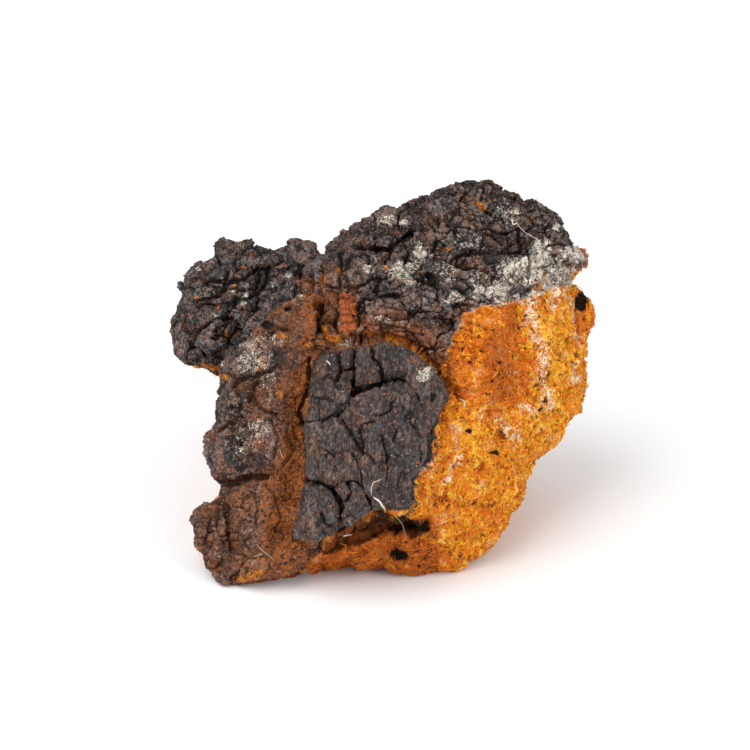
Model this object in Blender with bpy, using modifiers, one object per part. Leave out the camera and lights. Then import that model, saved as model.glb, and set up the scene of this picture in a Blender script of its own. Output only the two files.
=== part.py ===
"""A broken-off lump of chaga, the black cracked fungus of birch trunks, lying as it fell.

The lump grew as one piece, so it is one solid. Its forms are set down as a modeller would see them
from in front: across to the right, up, and towards the eye, in millimetres from the picture's
centre. +X is right, +Y is away from the eye, +Z is up, and the lump rests on its flat-trimmed foot.
"""
import math

import bmesh
import bpy
import numpy as np
from mathutils import Matrix, Vector, noise

MM = 0.001

# Driving dimensions, in millimetres and degrees
EYE_DISTANCE = 900.0
EYE_ELEVATION = 25.0
CENTRE_HEIGHT = 47.5        # of the picture's centre above the table
FIRST_GRAIN = 1.1           # voxel of the joined lumps
SCULPT_GRAIN = 0.8          # voxel of the sculpted lump
MOST_TRIANGLES = 9400
BLOCK_SIZE = 7.5            # of the blocks that the crust has cracked into
BLOCK_CRACK_WIDTH = 0.9
BLOCK_CRACK_DEPTH = 1.7
BLOCK_STEP = 1.6            # between the highest and the lowest block
CRUST_SWELL = 0.5
PLATE_RISE = 2.8
CAVITY_DEPTH = 9.0
CRUST_LIP = 1.4             # the crust's edge stands this far above the flesh beside it
TABLE_SIZE = 300.0

# The main mass: (across, up, towards) round its widest line, seen from in front
BODY_CENTRE = (5.0, -6.0)
BODY_RIM = [
    (32.4, 56.4, 4), (40.8, 52.4, 2), (50.4, 47.8, -2), (56.2, 41.6, -4), (58.2, 33.2, -6),
    (54.8, 26.6, -8), (58.0, 15.7, -10), (57.7, 7.1, -12), (58.6, -1.4, -12), (57.4, -8.3, -12),
    (54.3, -12.0, -10), (49.4, -18.0, -8), (44.2, -21.4, -6), (42.0, -26.0, -5), (41.4, -32.9, -2),
    (37.4, -39.1, 1), (34.0, -46.3, 4), (28.9, -49.7, 6), (23.7, -53.4, 7), (18.6, -56.0, 8),
    (7.1, -56.6, 9), (0.9, -53.4, 12), (-8.3, -53.1, 14), (-15.7, -54.6, 15), (-24.9, -57.1, 15),
    (-32.9, -59.4, 15), (-42.6, -59.7, 15), (-47.1, -56.0, 14), (-50.6, -49.4, 12),
    (-53.1, -43.4, 10), (-50.6, -39.1, 9), (-45.4, -35.7, 9), (-44.0, -32.3, 9),
    (-47.7, -28.9, 6), (-48.3, -22.9, 5), (-47.1, -14.3, 4), (-45.1, -5.7, 3), (-44.0, 1.4, 2),
    (-41.4, 7.1, 1), (-36.9, 13.4, 0), (-32.0, 19.4, -1), (-26.4, 25.4, -3), (-20.6, 30.7, -5),
    (-14.9, 35.6, -6), (-7.5, 41.4, -5), (0.3, 45.2, -2), (7.6, 49.4, 0), (15.7, 54.0, 2),
    (23.7, 54.9, 3),
]
BODY_FRONT = [
    (18.6, 38.6, 16), (7.1, 22.0, 29), (2.9, 12.3, 34), (-15.7, 23.7, 22), (-24.3, 20.9, 13),
    (41.4, 35.7, 8), (41.4, 24.3, 14), (30.0, 45.7, 9), (35.7, 12.9, 22), (34.3, -7.1, 25),
    (50.0, 7.1, 10), (47.1, -7.1, 10), (25.7, -30.0, 25), (20.0, -45.7, 18), (37.1, -24.3, 14),
    (-0.9, 3.7, 32), (-0.9, -15.7, 36), (-7.1, -37.1, 37), (-20.0, -44.3, 31), (7.1, -32.9, 34),
    (15.7, -7.1, 33), (-18.6, -7.1, 27), (-22.3, -30.0, 26), (-32.3, 7.1, 12),
    (-34.3, -12.9, 19), (-40.9, -22.9, 14), (-35.7, -44.3, 24), (-45.7, -47.1, 16),
    (-5.7, -50.0, 22), (11.4, -52.3, 16),
]
BODY_BACK = [
    (5.0, -5.0, -46), (20.0, 35.0, -26), (40.0, 0.0, -36), (-25.0, 0.0, -34), (5.0, 20.0, -40),
    (5.0, -32.0, -56), (-20.0, -38.0, -34), (28.0, -28.0, -48), (-30.0, -20.0, -24),
    (42.0, 25.0, -26), (-12.0, 25.0, -30),
]

# The lobe that stands out behind on the left
LOBE_CENTRE = (-35.0, 16.0)
LOBE_RIM = [
    (-58.8, 12.3, -26), (-58.2, 18.0, -26), (-56.8, 22.2, -26), (-55.2, 27.4, -27),
    (-53.2, 31.8, -28), (-46.3, 33.4, -30), (-38.6, 35.1, -31), (-32.3, 35.4, -31),
    (-25.7, 35.4, -32), (-21.7, 37.2, -32), (-18.0, 34.8, -32), (-12.9, 32.3, -32),
    (-8.6, 21.4, -30), (-12.9, 8.6, -28), (-24.3, 0.9, -26), (-35.7, -2.1, -25),
    (-44.7, -0.1, -24), (-48.6, 2.1, -24), (-55.0, 2.2, -25), (-58.6, 5.7, -25),
]
LOBE_FRONT = [(-48.0, 20.0, -13), (-40.0, 10.0, -12), (-30.0, 26.0, -18), (-35.0, 16.0, -11)]
LOBE_BACK = [(-35.0, 16.0, -46), (-48.0, 14.0, -40), (-22.0, 14.0, -46), (-36.0, 4.0, -40)]

# Small knobs: where each stands, and its half-sizes across, up and towards
KNOBS = {
    "lobe nub": ((-43.4, 35.5, -28), (3.6, 5.0, 4.0)),
    "lobe bump": ((-35.8, 35.9, -30), (3.0, 2.2, 3.0)),
    "lobe ridge": ((-22.0, 36.2, -31), (5.4, 2.6, 4.0)),
    "lobe root": ((-16.0, 21.0, -26), (15.0, 13.0, 11.0)),
    "right spur": ((57.5, 32.6, -6), (4.4, 1.9, 4.0)),
    "right knob": ((58.0, 17.5, -8), (3.8, 7.0, 5.0)),
    "right knob foot": ((57.0, 9.5, -9), (3.6, 5.0, 5.0)),
    "foot tip": ((-48.5, -43.0, 12), (4.4, 5.4, 4.5)),
}

# The black plate of thick crust in front
PLATE = [
    (-15.7, 6.0), (-9.7, 6.6), (-5.1, 7.4), (2.9, 9.4), (9.4, 6.9), (13.4, 4.0), (16.3, 0.9),
    (19.4, -2.6), (20.6, -5.4), (18.6, -10.0), (16.9, -14.9), (15.1, -24.6), (10.6, -30.3),
    (10.6, -35.7), (9.1, -37.7), (0.3, -38.3), (-4.6, -40.9), (-11.4, -44.9), (-14.9, -46.3),
    (-24.0, -47.4), (-23.1, -43.4), (-21.4, -37.7), (-20.0, -31.1), (-20.3, -26.6),
    (-20.0, -20.0), (-20.6, -14.9), (-18.6, -9.7), (-19.1, -4.6), (-16.9, 4.6),
]
# The hollow under the plate's lower edge
CAVITY = [
    (-13.2, -49.5), (-12.0, -46.0), (-8.6, -42.6), (-4.0, -40.2), (0.0, -38.9), (3.7, -38.5),
    (9.2, -39.9), (14.8, -41.4), (13.6, -43.7), (8.7, -46.0), (3.7, -46.9), (-3.9, -46.3),
    (-8.0, -47.5),
]
# Where the flesh shows in front: right of and below this line, out past the lump's own edge
FLESH = [
    (67.1, 32.3), (57.1, 30.0), (51.7, 24.9), (44.3, 22.3), (35.7, 20.3), (25.7, 18.3),
    (23.7, 14.0), (20.9, 8.6), (18.6, 2.0), (21.1, -2.6), (20.6, -6.0), (18.6, -10.6),
    (16.9, -15.1), (15.4, -20.0), (14.9, -25.1), (10.9, -31.1), (10.9, -36.3), (15.1, -41.4),
    (8.6, -45.1), (-1.4, -48.9), (-11.4, -51.7), (-21.4, -54.6), (-25.7, -61.4),
    (-25.7, -75.7), (75.7, -75.7), (75.7, 32.3),
]
# Behind, the flesh shows below the plane along which the lump tore off its tree
TEAR_POINT = (61.0, 19.5, 75.0)
TEAR_NORMAL = (0.294, 0.545, -0.785)

# Furrows in front: half width, depth, and the line that each follows
FURROWS = {
    "arch under the crown": (1.9, 4.2, [
        (-21.4, 28.3), (-17.7, 24.0), (-15.1, 17.7), (-13.1, 10.9), (-7.1, 9.7), (2.9, 10.9),
        (10.9, 8.0), (16.6, 2.6), (20.9, -2.3), (24.6, -6.6)]),
    "valley left of the plate": (3.6, 5.0, [
        (-15.1, 17.1), (-16.6, 8.6), (-20.7, -1.4), (-22.1, -12.9), (-22.7, -24.3),
        (-24.1, -35.7), (-26.4, -47.1)]),
    "crown split": (0.9, 2.4, [(-5.7, 36.6), (-0.6, 36.0), (4.0, 36.0), (8.0, 38.9), (10.3, 41.1)]),
    "crown side split": (0.8, 2.0, [(15.1, 29.7), (17.4, 25.4), (18.0, 22.0)]),
    "flank fold": (1.3, 1.8, [(-40.3, -2.6), (-38.0, -1.1), (-34.3, -0.6), (-31.1, 0.9), (-28.3, 2.6)]),
    "flank branch": (1.2, 1.5, [(-34.0, -2.0), (-35.4, -4.0), (-35.7, -6.9)]),
    "flank notch": (1.2, 1.6, [(-45.4, -16.4), (-43.4, -15.4), (-41.1, -13.4), (-38.9, -11.7)]),
    "fold over the foot": (1.8, 3.2, [
        (-47.1, -31.0), (-42.0, -30.9), (-38.9, -30.3), (-35.4, -29.2), (-31.4, -29.1)]),
    "foot furrow": (1.3, 2.2, [
        (-44.9, -36.0), (-42.9, -37.7), (-42.3, -41.1), (-42.0, -44.9), (-40.9, -50.0)]),
}
# Cracks through the plate: half width, depth, line
PLATE_CRACKS = {
    "cross crack": (0.8, 3.4, [
        (-5.7, -4.6), (-4.0, -2.9), (-0.6, -3.1), (2.6, -2.6), (4.9, -1.4), (8.6, -1.7),
        (9.4, -3.1), (11.4, -5.7)]),
    "upright crack": (0.8, 3.0, [
        (-5.4, 7.4), (-5.7, 2.6), (-6.9, 0.6), (-6.6, -2.9), (-6.9, -5.4), (-7.4, -8.3),
        (-8.9, -10.6), (-10.9, -12.6)]),
    "left spur": (0.6, 2.0, [(-9.7, 6.6), (-9.4, 2.6), (-7.1, 1.7)]),
    "top crack": (0.6, 2.4, [(-0.6, 8.3), (-0.6, 4.0), (1.7, 2.6), (2.3, -2.2)]),
    "low cross crack": (0.9, 3.4, [
        (-19.5, -30.0), (-14.9, -31.7), (-11.7, -32.6), (-9.7, -31.1), (-7.7, -30.3),
        (-5.1, -30.6), (-3.7, -32.9)]),
    "low upright crack": (0.8, 3.0, [(-11.4, -32.9), (-9.4, -36.3), (-9.4, -39.4), (-11.4, -43.0)]),
    "centre furrow": (1.0, 1.8, [
        (-8.3, -12.9), (-5.1, -17.4), (-3.7, -21.1), (-4.6, -25.1), (-3.7, -29.1), (-2.6, -34.3),
        (-1.7, -38.4)]),
    "right furrow": (0.8, 1.3, [(1.4, -16.9), (2.6, -22.0), (3.4, -25.1), (2.9, -29.1), (1.4, -32.3)]),
}
# Round pits: half width, depth, and where
PITS = {
    "hole in the ledge": (2.6, 4.2, (6.0, -51.2)),
    "hole beside the cavity": (1.3, 2.0, (17.4, -35.2)),
    "hollow of the right knob": (2.0, 2.4, (57.0, 21.0)),
    "pit by the lobe": (1.6, 3.0, (-25.4, 19.4)),
    "small pit by the lobe": (1.2, 2.4, (-20.9, 23.8)),
    "flesh pit": (1.5, 1.8, (49.4, -9.7)),
    "low flesh pit": (1.8, 1.8, (36.3, -26.3)),
}

# The eye's own axes in the world
SLOPE = math.radians(EYE_ELEVATION)
RIGHTWARD = np.array([1.0, 0.0, 0.0])
UPWARD = np.array([0.0, math.sin(SLOPE), math.cos(SLOPE)])
TO_EYE = np.array([0.0, -math.cos(SLOPE), math.sin(SLOPE)])
PICTURE_CENTRE = np.array([0.0, 0.0, CENTRE_HEIGHT])


def to_world(seen):
    """World points in mm, from (across, up, towards) as the eye sees them."""
    across, up, towards = seen.T
    nearer = (EYE_DISTANCE - towards) / EYE_DISTANCE
    return (PICTURE_CENTRE + np.outer(across * nearer, RIGHTWARD)
            + np.outer(up * nearer, UPWARD) + np.outer(towards, TO_EYE))


def to_seen(points):
    """(across, up, towards) as the eye sees them, from world points in mm."""
    offset = points - PICTURE_CENTRE
    towards = offset @ TO_EYE
    nearer = (EYE_DISTANCE - towards) / EYE_DISTANCE
    return np.stack([offset @ RIGHTWARD / nearer, offset @ UPWARD / nearer, towards], axis=1)


def ramp(low, high, value):
    """0 below low, 1 above high, and smooth between."""
    t = np.clip((value - low) / (high - low), 0.0, 1.0)
    return t * t * (3.0 - 2.0 * t)


def bent_sheet(marks):
    """A thin plate bent through marks of (across, up, height), as a function of (across, up)."""
    marks = np.array(marks, float)
    spots, heights = marks[:, :2], marks[:, 2]

    def bending(points):
        gap = np.linalg.norm(points[:, None, :] - spots[None, :, :], axis=2)
        return gap ** 2 * np.log(gap + 1e-9)

    def flat(points):
        return np.column_stack([np.ones(len(points)), points])

    count = len(marks)
    system = np.zeros((count + 3, count + 3))
    system[:count, :count] = bending(spots)
    system[:count, count:] = flat(spots)
    system[count:, :count] = flat(spots).T
    weights = np.linalg.solve(system, np.append(heights, [0.0, 0.0, 0.0]))
    return lambda points: bending(points) @ weights[:count] + flat(points) @ weights[count:]


def line_gap(points, line):
    """Distance in the picture from each point to a line of straight runs."""
    line = np.array(line, float)
    gap = np.full(len(points), np.inf)
    for start, end in zip(line[:-1], line[1:]):
        along = end - start
        share = np.clip((points - start) @ along / (along @ along), 0.0, 1.0)
        gap = np.minimum(gap, np.linalg.norm(points - start - share[:, None] * along, axis=1))
    return gap


def depth_inside(points, outline):
    """How far inside a closed outline each point lies in the picture; outside it is negative."""
    ring = np.array(list(outline) + [outline[0]], float)
    inside = np.zeros(len(points), bool)
    for (x0, y0), (x1, y1) in zip(ring[:-1], ring[1:]):
        spans = (y0 > points[:, 1]) != (y1 > points[:, 1])
        if spans.any():
            crossing = x0 + (points[:, 1] - y0) * (x1 - x0) / ((y1 - y0) or 1e-9)
            inside ^= spans & (points[:, 0] < crossing)
    return np.where(inside, 1.0, -1.0) * line_gap(points, ring)


def lump(name, centre, rim, front, back, fineness):
    """A rounded mass with the given widest line, whose front and back pass through their marks."""
    rim = np.array(rim, float)
    centre = np.array(centre, float)
    arms = rim[:, :2] - centre
    angles = np.arctan2(arms[:, 1], arms[:, 0])
    order = np.argsort(angles)

    def round_rim(values, angle):
        return np.interp(angle, angles[order], values[order], period=math.tau)

    reaches = np.linalg.norm(arms, axis=1)

    def sheet_through(marks):
        """The marks lie on the rounded mass, and the sheet is what it would be with no rounding."""
        marks = np.array(marks, float)
        arm = marks[:, :2] - centre
        angle = np.arctan2(arm[:, 1], arm[:, 0])
        share = np.linalg.norm(arm, axis=1) / round_rim(reaches, angle)
        full = np.sqrt(1.0 - np.minimum(share, 0.95) ** 2)
        height = (marks[:, 2] - round_rim(rim[:, 2], angle) * (1.0 - full)) / full
        return bent_sheet(np.column_stack([marks[:, :2], height]))

    shape = bmesh.new()
    bmesh.ops.create_icosphere(shape, subdivisions=fineness, radius=1.0)
    ball = np.array([v.co for v in shape.verts])
    angle = np.arctan2(ball[:, 1], ball[:, 0])
    reach = round_rim(reaches, angle) * np.hypot(ball[:, 0], ball[:, 1])
    place = centre + np.column_stack([reach * np.cos(angle), reach * np.sin(angle)])
    full = np.abs(ball[:, 2])
    sheet = np.where(ball[:, 2] >= 0.0, sheet_through(front)(place), sheet_through(back)(place))
    towards = round_rim(rim[:, 2], angle) * (1.0 - full) + sheet * full
    world = to_world(np.column_stack([place, towards])) * MM
    for vertex, spot in zip(shape.verts, world):
        vertex.co = spot
    return mesh_object(name, shape)


def knob(name, place, half_sizes):
    """A small ellipsoid swelling."""
    shape = bmesh.new()
    bmesh.ops.create_icosphere(shape, subdivisions=4, radius=1.0)
    for vertex in shape.verts:
        seen = np.array(place) + np.array(vertex.co) * np.array(half_sizes)
        vertex.co = to_world(seen[None])[0] * MM
    return mesh_object(name, shape)


def mesh_object(name, shape):
    mesh = bpy.data.meshes.new(name)
    shape.to_mesh(mesh)
    shape.free()
    made = bpy.data.objects.new(name, mesh)
    bpy.context.scene.collection.objects.link(made)
    return made


def baked(thing):
    """A mesh of the object with its modifiers applied."""
    graph = bpy.context.evaluated_depsgraph_get()
    return bpy.data.meshes.new_from_object(thing.evaluated_get(graph))


def fuse(things, name, grain):
    """Joins overlapping masses into one skin."""
    joined = bmesh.new()
    for thing in things:
        joined.from_mesh(thing.data)
        bpy.data.objects.remove(thing)
    whole = mesh_object(name, joined)
    return resurface(whole, grain)


def resurface(thing, grain):
    """An even skin of the given grain in place of the object's own."""
    remesh = thing.modifiers.new("Even skin", "REMESH")
    remesh.mode = "VOXEL"
    remesh.voxel_size = grain * MM
    thing.data = baked(thing)
    thing.modifiers.clear()
    return thing


def soften(thing, rounds):
    smooth = thing.modifiers.new("Soften", "SMOOTH")
    smooth.factor = 0.5
    smooth.iterations = rounds
    thing.data = baked(thing)
    thing.modifiers.clear()


def vertex_array(mesh, normals=False):
    values = np.empty(len(mesh.vertices) * 3, np.float32)
    source = mesh.vertex_normals if normals else mesh.vertices
    source.foreach_get("vector" if normals else "co", values)
    return values.reshape(-1, 3).astype(float)


def rolling(points, size, seed):
    """Smooth noise from -1 to 1 with hills of the given size."""
    shift = Vector((seed * 17.3, seed * 5.1, seed * 9.7))
    return np.array([noise.noise(Vector(p) / size + shift) for p in points])


def block_crack(points, size, seed):
    """Distance to the nearest wall between the blocks of a cracked crust, and a number for each block."""
    shift = Vector((seed * 11.9, seed * 3.7, seed * 7.1))
    gaps = np.empty(len(points))
    blocks = np.empty(len(points))
    for i, point in enumerate(points):
        place = Vector(point) / size + shift
        _, cores = noise.voronoi(place)
        across = cores[1] - cores[0]
        gaps[i] = ((cores[0] + cores[1]) / 2 - place).dot(across.normalized()) * size
        blocks[i] = noise.cell(cores[0] * 31.0)
    return gaps, blocks


def flesh_depth(points, seen, facing):
    """How far each point lies into the bare flesh; on the crust it is negative."""
    in_front = depth_inside(seen[:, :2], FLESH)
    behind = (points - np.array(TEAR_POINT)) @ np.array(TEAR_NORMAL)
    return in_front * facing + behind * (1.0 - facing)


def sculpt(thing):
    """Presses the furrows, cracks, pits and the raised plate into the joined masses."""
    points = vertex_array(thing.data) / MM
    normals = vertex_array(thing.data, normals=True)
    seen = to_seen(points)
    flat = seen[:, :2]
    facing = ramp(-0.15, 0.25, normals @ TO_EYE)
    wander = np.column_stack([rolling(points, 5.0, 1), rolling(points, 5.0, 2)])
    loose = flat + 0.7 * wander

    swell = 1.6 * rolling(points, 19.0, 3) + 0.9 * rolling(points, 8.0, 4)
    for half_width, depth, line in FURROWS.values():
        swell -= facing * depth * np.exp(-(line_gap(loose, line) / half_width) ** 2)

    within = depth_inside(loose, PLATE)
    on_plate = facing * ramp(-0.6, 0.7, within)
    swell += on_plate * PLATE_RISE
    for half_width, depth, line in PLATE_CRACKS.values():
        swell -= on_plate * depth * ramp(half_width * 1.6, half_width * 0.4, line_gap(flat, line))

    for half_width, depth, spot in PITS.values():
        gap = np.linalg.norm(loose - np.array(spot), axis=1)
        swell -= facing * depth * np.exp(-(gap / half_width) ** 2)

    flesh = flesh_depth(points, seen, facing)
    crust = ramp(0.5, -1.5, flesh) * (1.0 - on_plate)
    flank = ramp(-14.0, -22.0, seen[:, 0]) * ramp(20.0, 12.0, seen[:, 1]) * facing
    bent = points + 1.3 * np.column_stack([rolling(points, 6.0, s) for s in (5, 6, 7)])
    gap, block = block_crack(bent, BLOCK_SIZE, 1)
    cracked = crust * (1.0 - 0.75 * flank)
    swell += cracked * (BLOCK_STEP / 2 * block + CRUST_SWELL)
    swell -= cracked * BLOCK_CRACK_DEPTH * ramp(BLOCK_CRACK_WIDTH * 1.4, 0.2, gap)
    swell += crust * flank * 1.3 * rolling(points, 5.5, 9)
    torn = ramp(-0.5, 1.0, flesh) * (1.0 - on_plate)
    swell += torn * (1.0 * rolling(points, 7.0, 8) + 0.6 * rolling(points, 3.2, 10))
    swell += torn * 2.2 * (0.25 - np.abs(rolling(points, 13.0, 11)))
    swell -= torn * CRUST_LIP * np.exp(-np.maximum(flesh, 0.0) / 5.0)

    moved = points + normals * swell[:, None]
    hollow = facing * ramp(-0.3, 1.8, depth_inside(flat, CAVITY))
    hollow *= CAVITY_DEPTH * (0.5 + 0.5 * ramp(-10.0, 8.0, seen[:, 0]))
    moved -= np.outer(hollow, TO_EYE)
    thing.data.vertices.foreach_set("co", (moved * MM).astype(np.float32).ravel())
    thing.data.update()


def material(name, colour, roughness):
    made = bpy.data.materials.new(name)
    made.use_nodes = True
    shader = made.node_tree.nodes["Principled BSDF"]
    shader.inputs["Base Color"].default_value = (*colour, 1.0)
    shader.inputs["Roughness"].default_value = roughness
    shader.inputs["Metallic"].default_value = 0.0
    return made


def collection(name, members):
    made = bpy.data.collections.new(name)
    bpy.context.scene.collection.children.link(made)
    for member in members:
        for holder in list(member.users_collection):
            holder.objects.unlink(member)
        made.objects.link(member)


def table_cutter():
    """Everything under the table's top, which trims the lump's foot flat."""
    size = TABLE_SIZE * MM
    shape = bmesh.new()
    bmesh.ops.create_cube(shape, size=size)
    bmesh.ops.translate(shape, verts=shape.verts, vec=(0.0, 0.0, -size / 2))
    cutter = mesh_object("table_cutter", shape)
    cutter.hide_render = True
    cutter.display_type = "WIRE"
    return cutter


def build():
    for old in list(bpy.data.objects):
        bpy.data.objects.remove(old)
    masses = [lump("body", BODY_CENTRE, BODY_RIM, BODY_FRONT, BODY_BACK, 7),
              lump("lobe", LOBE_CENTRE, LOBE_RIM, LOBE_FRONT, LOBE_BACK, 6)]
    masses += [knob(name, place, sizes) for name, (place, sizes) in KNOBS.items()]
    chaga = fuse(masses, "chaga", FIRST_GRAIN)
    soften(chaga, 3)
    sculpt(chaga)
    resurface(chaga, SCULPT_GRAIN)

    thin = chaga.modifiers.new("Fewer faces", "DECIMATE")
    thin.ratio = MOST_TRIANGLES / (2 * len(chaga.data.polygons))
    chaga.data = baked(chaga)
    chaga.modifiers.clear()
    cutter = table_cutter()
    trim = chaga.modifiers.new("Flat foot", "BOOLEAN")
    trim.operation = "DIFFERENCE"
    trim.object = cutter
    chaga.data = baked(chaga)
    chaga.modifiers.clear()
    spots = vertex_array(chaga.data)
    middle = (spots.min(axis=0) + spots.max(axis=0)) / 2
    chaga.data.transform(Matrix.Translation((-middle[0], -middle[1], -spots[:, 2].min())))
    chaga.data.materials.clear()
    chaga.data.materials.append(material("crust", (0.045, 0.036, 0.032), 0.85))
    collection("chaga", [chaga])
    collection("cutters", [cutter])
    print("picture centre now at", -middle[0], -middle[1], PICTURE_CENTRE[2] * MM - spots[:, 2].min())


build()
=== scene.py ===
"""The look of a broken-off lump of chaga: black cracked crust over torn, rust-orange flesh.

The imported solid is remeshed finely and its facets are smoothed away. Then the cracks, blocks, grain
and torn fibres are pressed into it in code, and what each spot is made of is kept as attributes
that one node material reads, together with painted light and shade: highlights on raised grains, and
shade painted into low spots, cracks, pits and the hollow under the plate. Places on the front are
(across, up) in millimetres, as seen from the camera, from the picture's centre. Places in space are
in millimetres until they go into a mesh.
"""
import math
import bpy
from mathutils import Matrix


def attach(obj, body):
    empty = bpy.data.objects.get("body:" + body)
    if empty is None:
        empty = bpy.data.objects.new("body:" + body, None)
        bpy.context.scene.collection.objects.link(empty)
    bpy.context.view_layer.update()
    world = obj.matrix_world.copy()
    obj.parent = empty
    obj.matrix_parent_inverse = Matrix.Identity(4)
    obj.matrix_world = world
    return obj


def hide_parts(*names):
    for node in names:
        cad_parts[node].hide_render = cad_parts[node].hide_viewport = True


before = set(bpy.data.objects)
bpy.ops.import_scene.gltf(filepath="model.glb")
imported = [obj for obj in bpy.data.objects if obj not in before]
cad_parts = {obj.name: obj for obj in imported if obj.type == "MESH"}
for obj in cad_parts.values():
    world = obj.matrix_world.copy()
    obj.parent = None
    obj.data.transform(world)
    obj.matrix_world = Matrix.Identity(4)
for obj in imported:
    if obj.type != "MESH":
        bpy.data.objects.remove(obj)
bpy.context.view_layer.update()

from types import SimpleNamespace

import bpy
import numpy as np
from mathutils import Vector, noise

MM = 0.001

# The camera, as in the photograph, in millimetres and degrees
EYE_DISTANCE = 900.0
EYE_ELEVATION = 25.0
VIEW_WIDTH = 750 / 3.5      # the picture is 750 pixels wide, at 3.5 pixels to a millimetre
SENSOR_WIDTH = 36.0
PICTURE_CENTRE = np.array([-1.463, -0.978, 47.5])
GROWN_AT = np.array([-1.463, -0.978, 0.0])      # where the CAD's own origin was before centring

SLOPE = math.radians(EYE_ELEVATION)
RIGHTWARD = np.array([1.0, 0.0, 0.0])
UPWARD = np.array([0.0, math.sin(SLOPE), math.cos(SLOPE)])
TO_EYE = np.array([0.0, -math.cos(SLOPE), math.sin(SLOPE)])

# The studio, in metres and watts: each softbox's name, place, width and power
ROOM_LIGHT = 0.66
SOFTBOXES = [("key", (-0.9, -0.75, 1.6), 1.7, 31.0), ("fill", (1.3, -1.0, 0.9), 1.2, 13.0)]
FLOOR_REACH = 3.0

# Grain of the surface, in millimetres
SKIN_GRAIN = 0.40
FACET_SMOOTHING = 24        # rounds of smoothing
BLOCK_SIZE = 7.5
CHIP_SIZE = 3.4
CRUMB_SIZE = 1.2
SKIN_SWELL = 0.15           # all over, as most of the relief sinks in
HOLLOW_DEPTH = 3.4
FOOT_CLEARANCE = 0.02       # between the floor and the lowest points

# Loose bits, in millimetres; lift is how steeply a fibre stands off the surface
BITS_SEED = 11
FLESH_FIBRES = SimpleNamespace(count=15000, length=2.0, width=0.26, lift=0.06)
MOULD_THREADS = SimpleNamespace(count=2600, length=0.8, width=0.13, lift=0.35)
FLESH_CRUMBS = SimpleNamespace(count=2500, size=0.55)
CRUST_CRUMBS = SimpleNamespace(count=4000, size=0.45)

# Colours. Two are the ends of a mix, and three are what a loose bit's own shade picks between
HUES = SimpleNamespace(
    floor=(0.925, 0.94, 0.955, 1),
    # The crust's own dark tone, and painted shade where its grains lie low
    crust_dark_and_shade=((0.025, 0.019, 0.017, 1), (0.074, 0.026, 0.010, 1)),
    # Pale flecks, and painted highlights on the crust's highest grains
    crust_flecks_and_highlights=((0.300, 0.240, 0.210, 1), (0.400, 0.210, 0.120, 1)),
    slate=((0.130, 0.113, 0.110, 1), (0.128, 0.122, 0.132, 1)),
    brown=(0.192, 0.120, 0.094, 1),
    red_brown=(0.260, 0.104, 0.050, 1),
    plate=((0.076, 0.068, 0.070, 1), (0.120, 0.072, 0.056, 1)),
    warmth=((0.130, 0.030, 0.005, 1), (0.300, 0.085, 0.018, 1)),
    ember=((0.150, 0.034, 0.005, 1), (0.520, 0.150, 0.020, 1)),
    # Painted shade in the cracks
    crack=((0.009, 0.006, 0.005, 1), (0.050, 0.014, 0.004, 1)),
    rusty_crack=(0.120, 0.030, 0.006, 1),
    rusty_crust=((0.240, 0.060, 0.010, 1), (0.560, 0.160, 0.024, 1)),
    pale_speck=(0.620, 0.500, 0.400, 1),
    rusty_speck=(0.480, 0.125, 0.022, 1),
    brick=((0.240, 0.050, 0.012, 1), (0.540, 0.140, 0.034, 1)),
    # Painted shade in the crust's pits and holes
    crust_pit_shade=(0.008, 0.005, 0.004, 1),
    # The flesh's own darker and brighter orange, with painted shade in its folds and painted light on
    # its ridges
    flesh_dark_and_shade=((0.220, 0.040, 0.006, 1), (0.380, 0.075, 0.008, 1)),
    flesh_bright_and_lit=((0.680, 0.138, 0.008, 1), (0.840, 0.225, 0.012, 1)),
    tuft=(0.940, 0.320, 0.010, 1),
    wisp=(0.980, 0.450, 0.018, 1),
    bright_wisp=(1.000, 0.570, 0.040, 1),
    cream=(0.980, 0.820, 0.580, 1),
    clot=(0.130, 0.032, 0.014, 1),
    umber=((0.120, 0.028, 0.007, 1), (0.560, 0.150, 0.020, 1)),
    # Painted shade in the flesh's pores and holes, with its own dark flecks
    flesh_pit_shade_and_flecks=(0.026, 0.010, 0.004, 1),
    lip=(0.520, 0.420, 0.360, 1),
    # Painted shade in the hollow under the plate
    hollow=(0.014, 0.005, 0.003, 1),
    rust=((0.300, 0.075, 0.010, 1), (0.880, 0.310, 0.026, 1)),
    mould=((0.540, 0.450, 0.350, 1), (0.980, 0.900, 0.770, 1)),
    fibres=((0.560, 0.110, 0.008, 1), (0.920, 0.330, 0.014, 1), (1.000, 0.560, 0.050, 1)),
    dust=((0.030, 0.020, 0.016, 1), (0.130, 0.080, 0.060, 1), (0.300, 0.110, 0.035, 1)),
    fuzz=((0.460, 0.390, 0.320, 1), (0.700, 0.630, 0.540, 1), (0.900, 0.850, 0.770, 1)),
    straw=((0.500, 0.190, 0.050, 1), (0.620, 0.520, 0.400, 1), (0.850, 0.770, 0.640, 1)),
)

# Where the flesh shows in front. Right and below, the outline runs out past the lump's own edge
FLESH = [
    (67.1, 33.0), (62.0, 31.2), (59.6, 29.9), (57.0, 28.6), (54.6, 27.2), (52.6, 25.6), (49.5, 25.0),
    (44.3, 22.6), (35.7, 20.6), (25.7, 18.3),
    (23.7, 14.0), (20.9, 8.6), (18.6, 2.0), (21.1, -2.6), (20.6, -6.0), (18.6, -10.6),
    (16.9, -15.1), (15.4, -20.0), (14.9, -25.1), (10.9, -31.1), (10.9, -36.3), (9.1, -38.2),
    (0.3, -39.0), (-4.6, -41.6), (-11.4, -45.6), (-14.9, -47.2), (-15.6, -50.0), (-19.0, -54.0),
    (-20.0, -75.7), (75.7, -75.7), (75.7, 33.0),
]
# Behind, the flesh shows below the plane along which the lump tore off its tree
TEAR_POINT = (61.0, 19.5, 75.0)
TEAR_NORMAL = (0.294, 0.545, -0.785)
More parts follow.
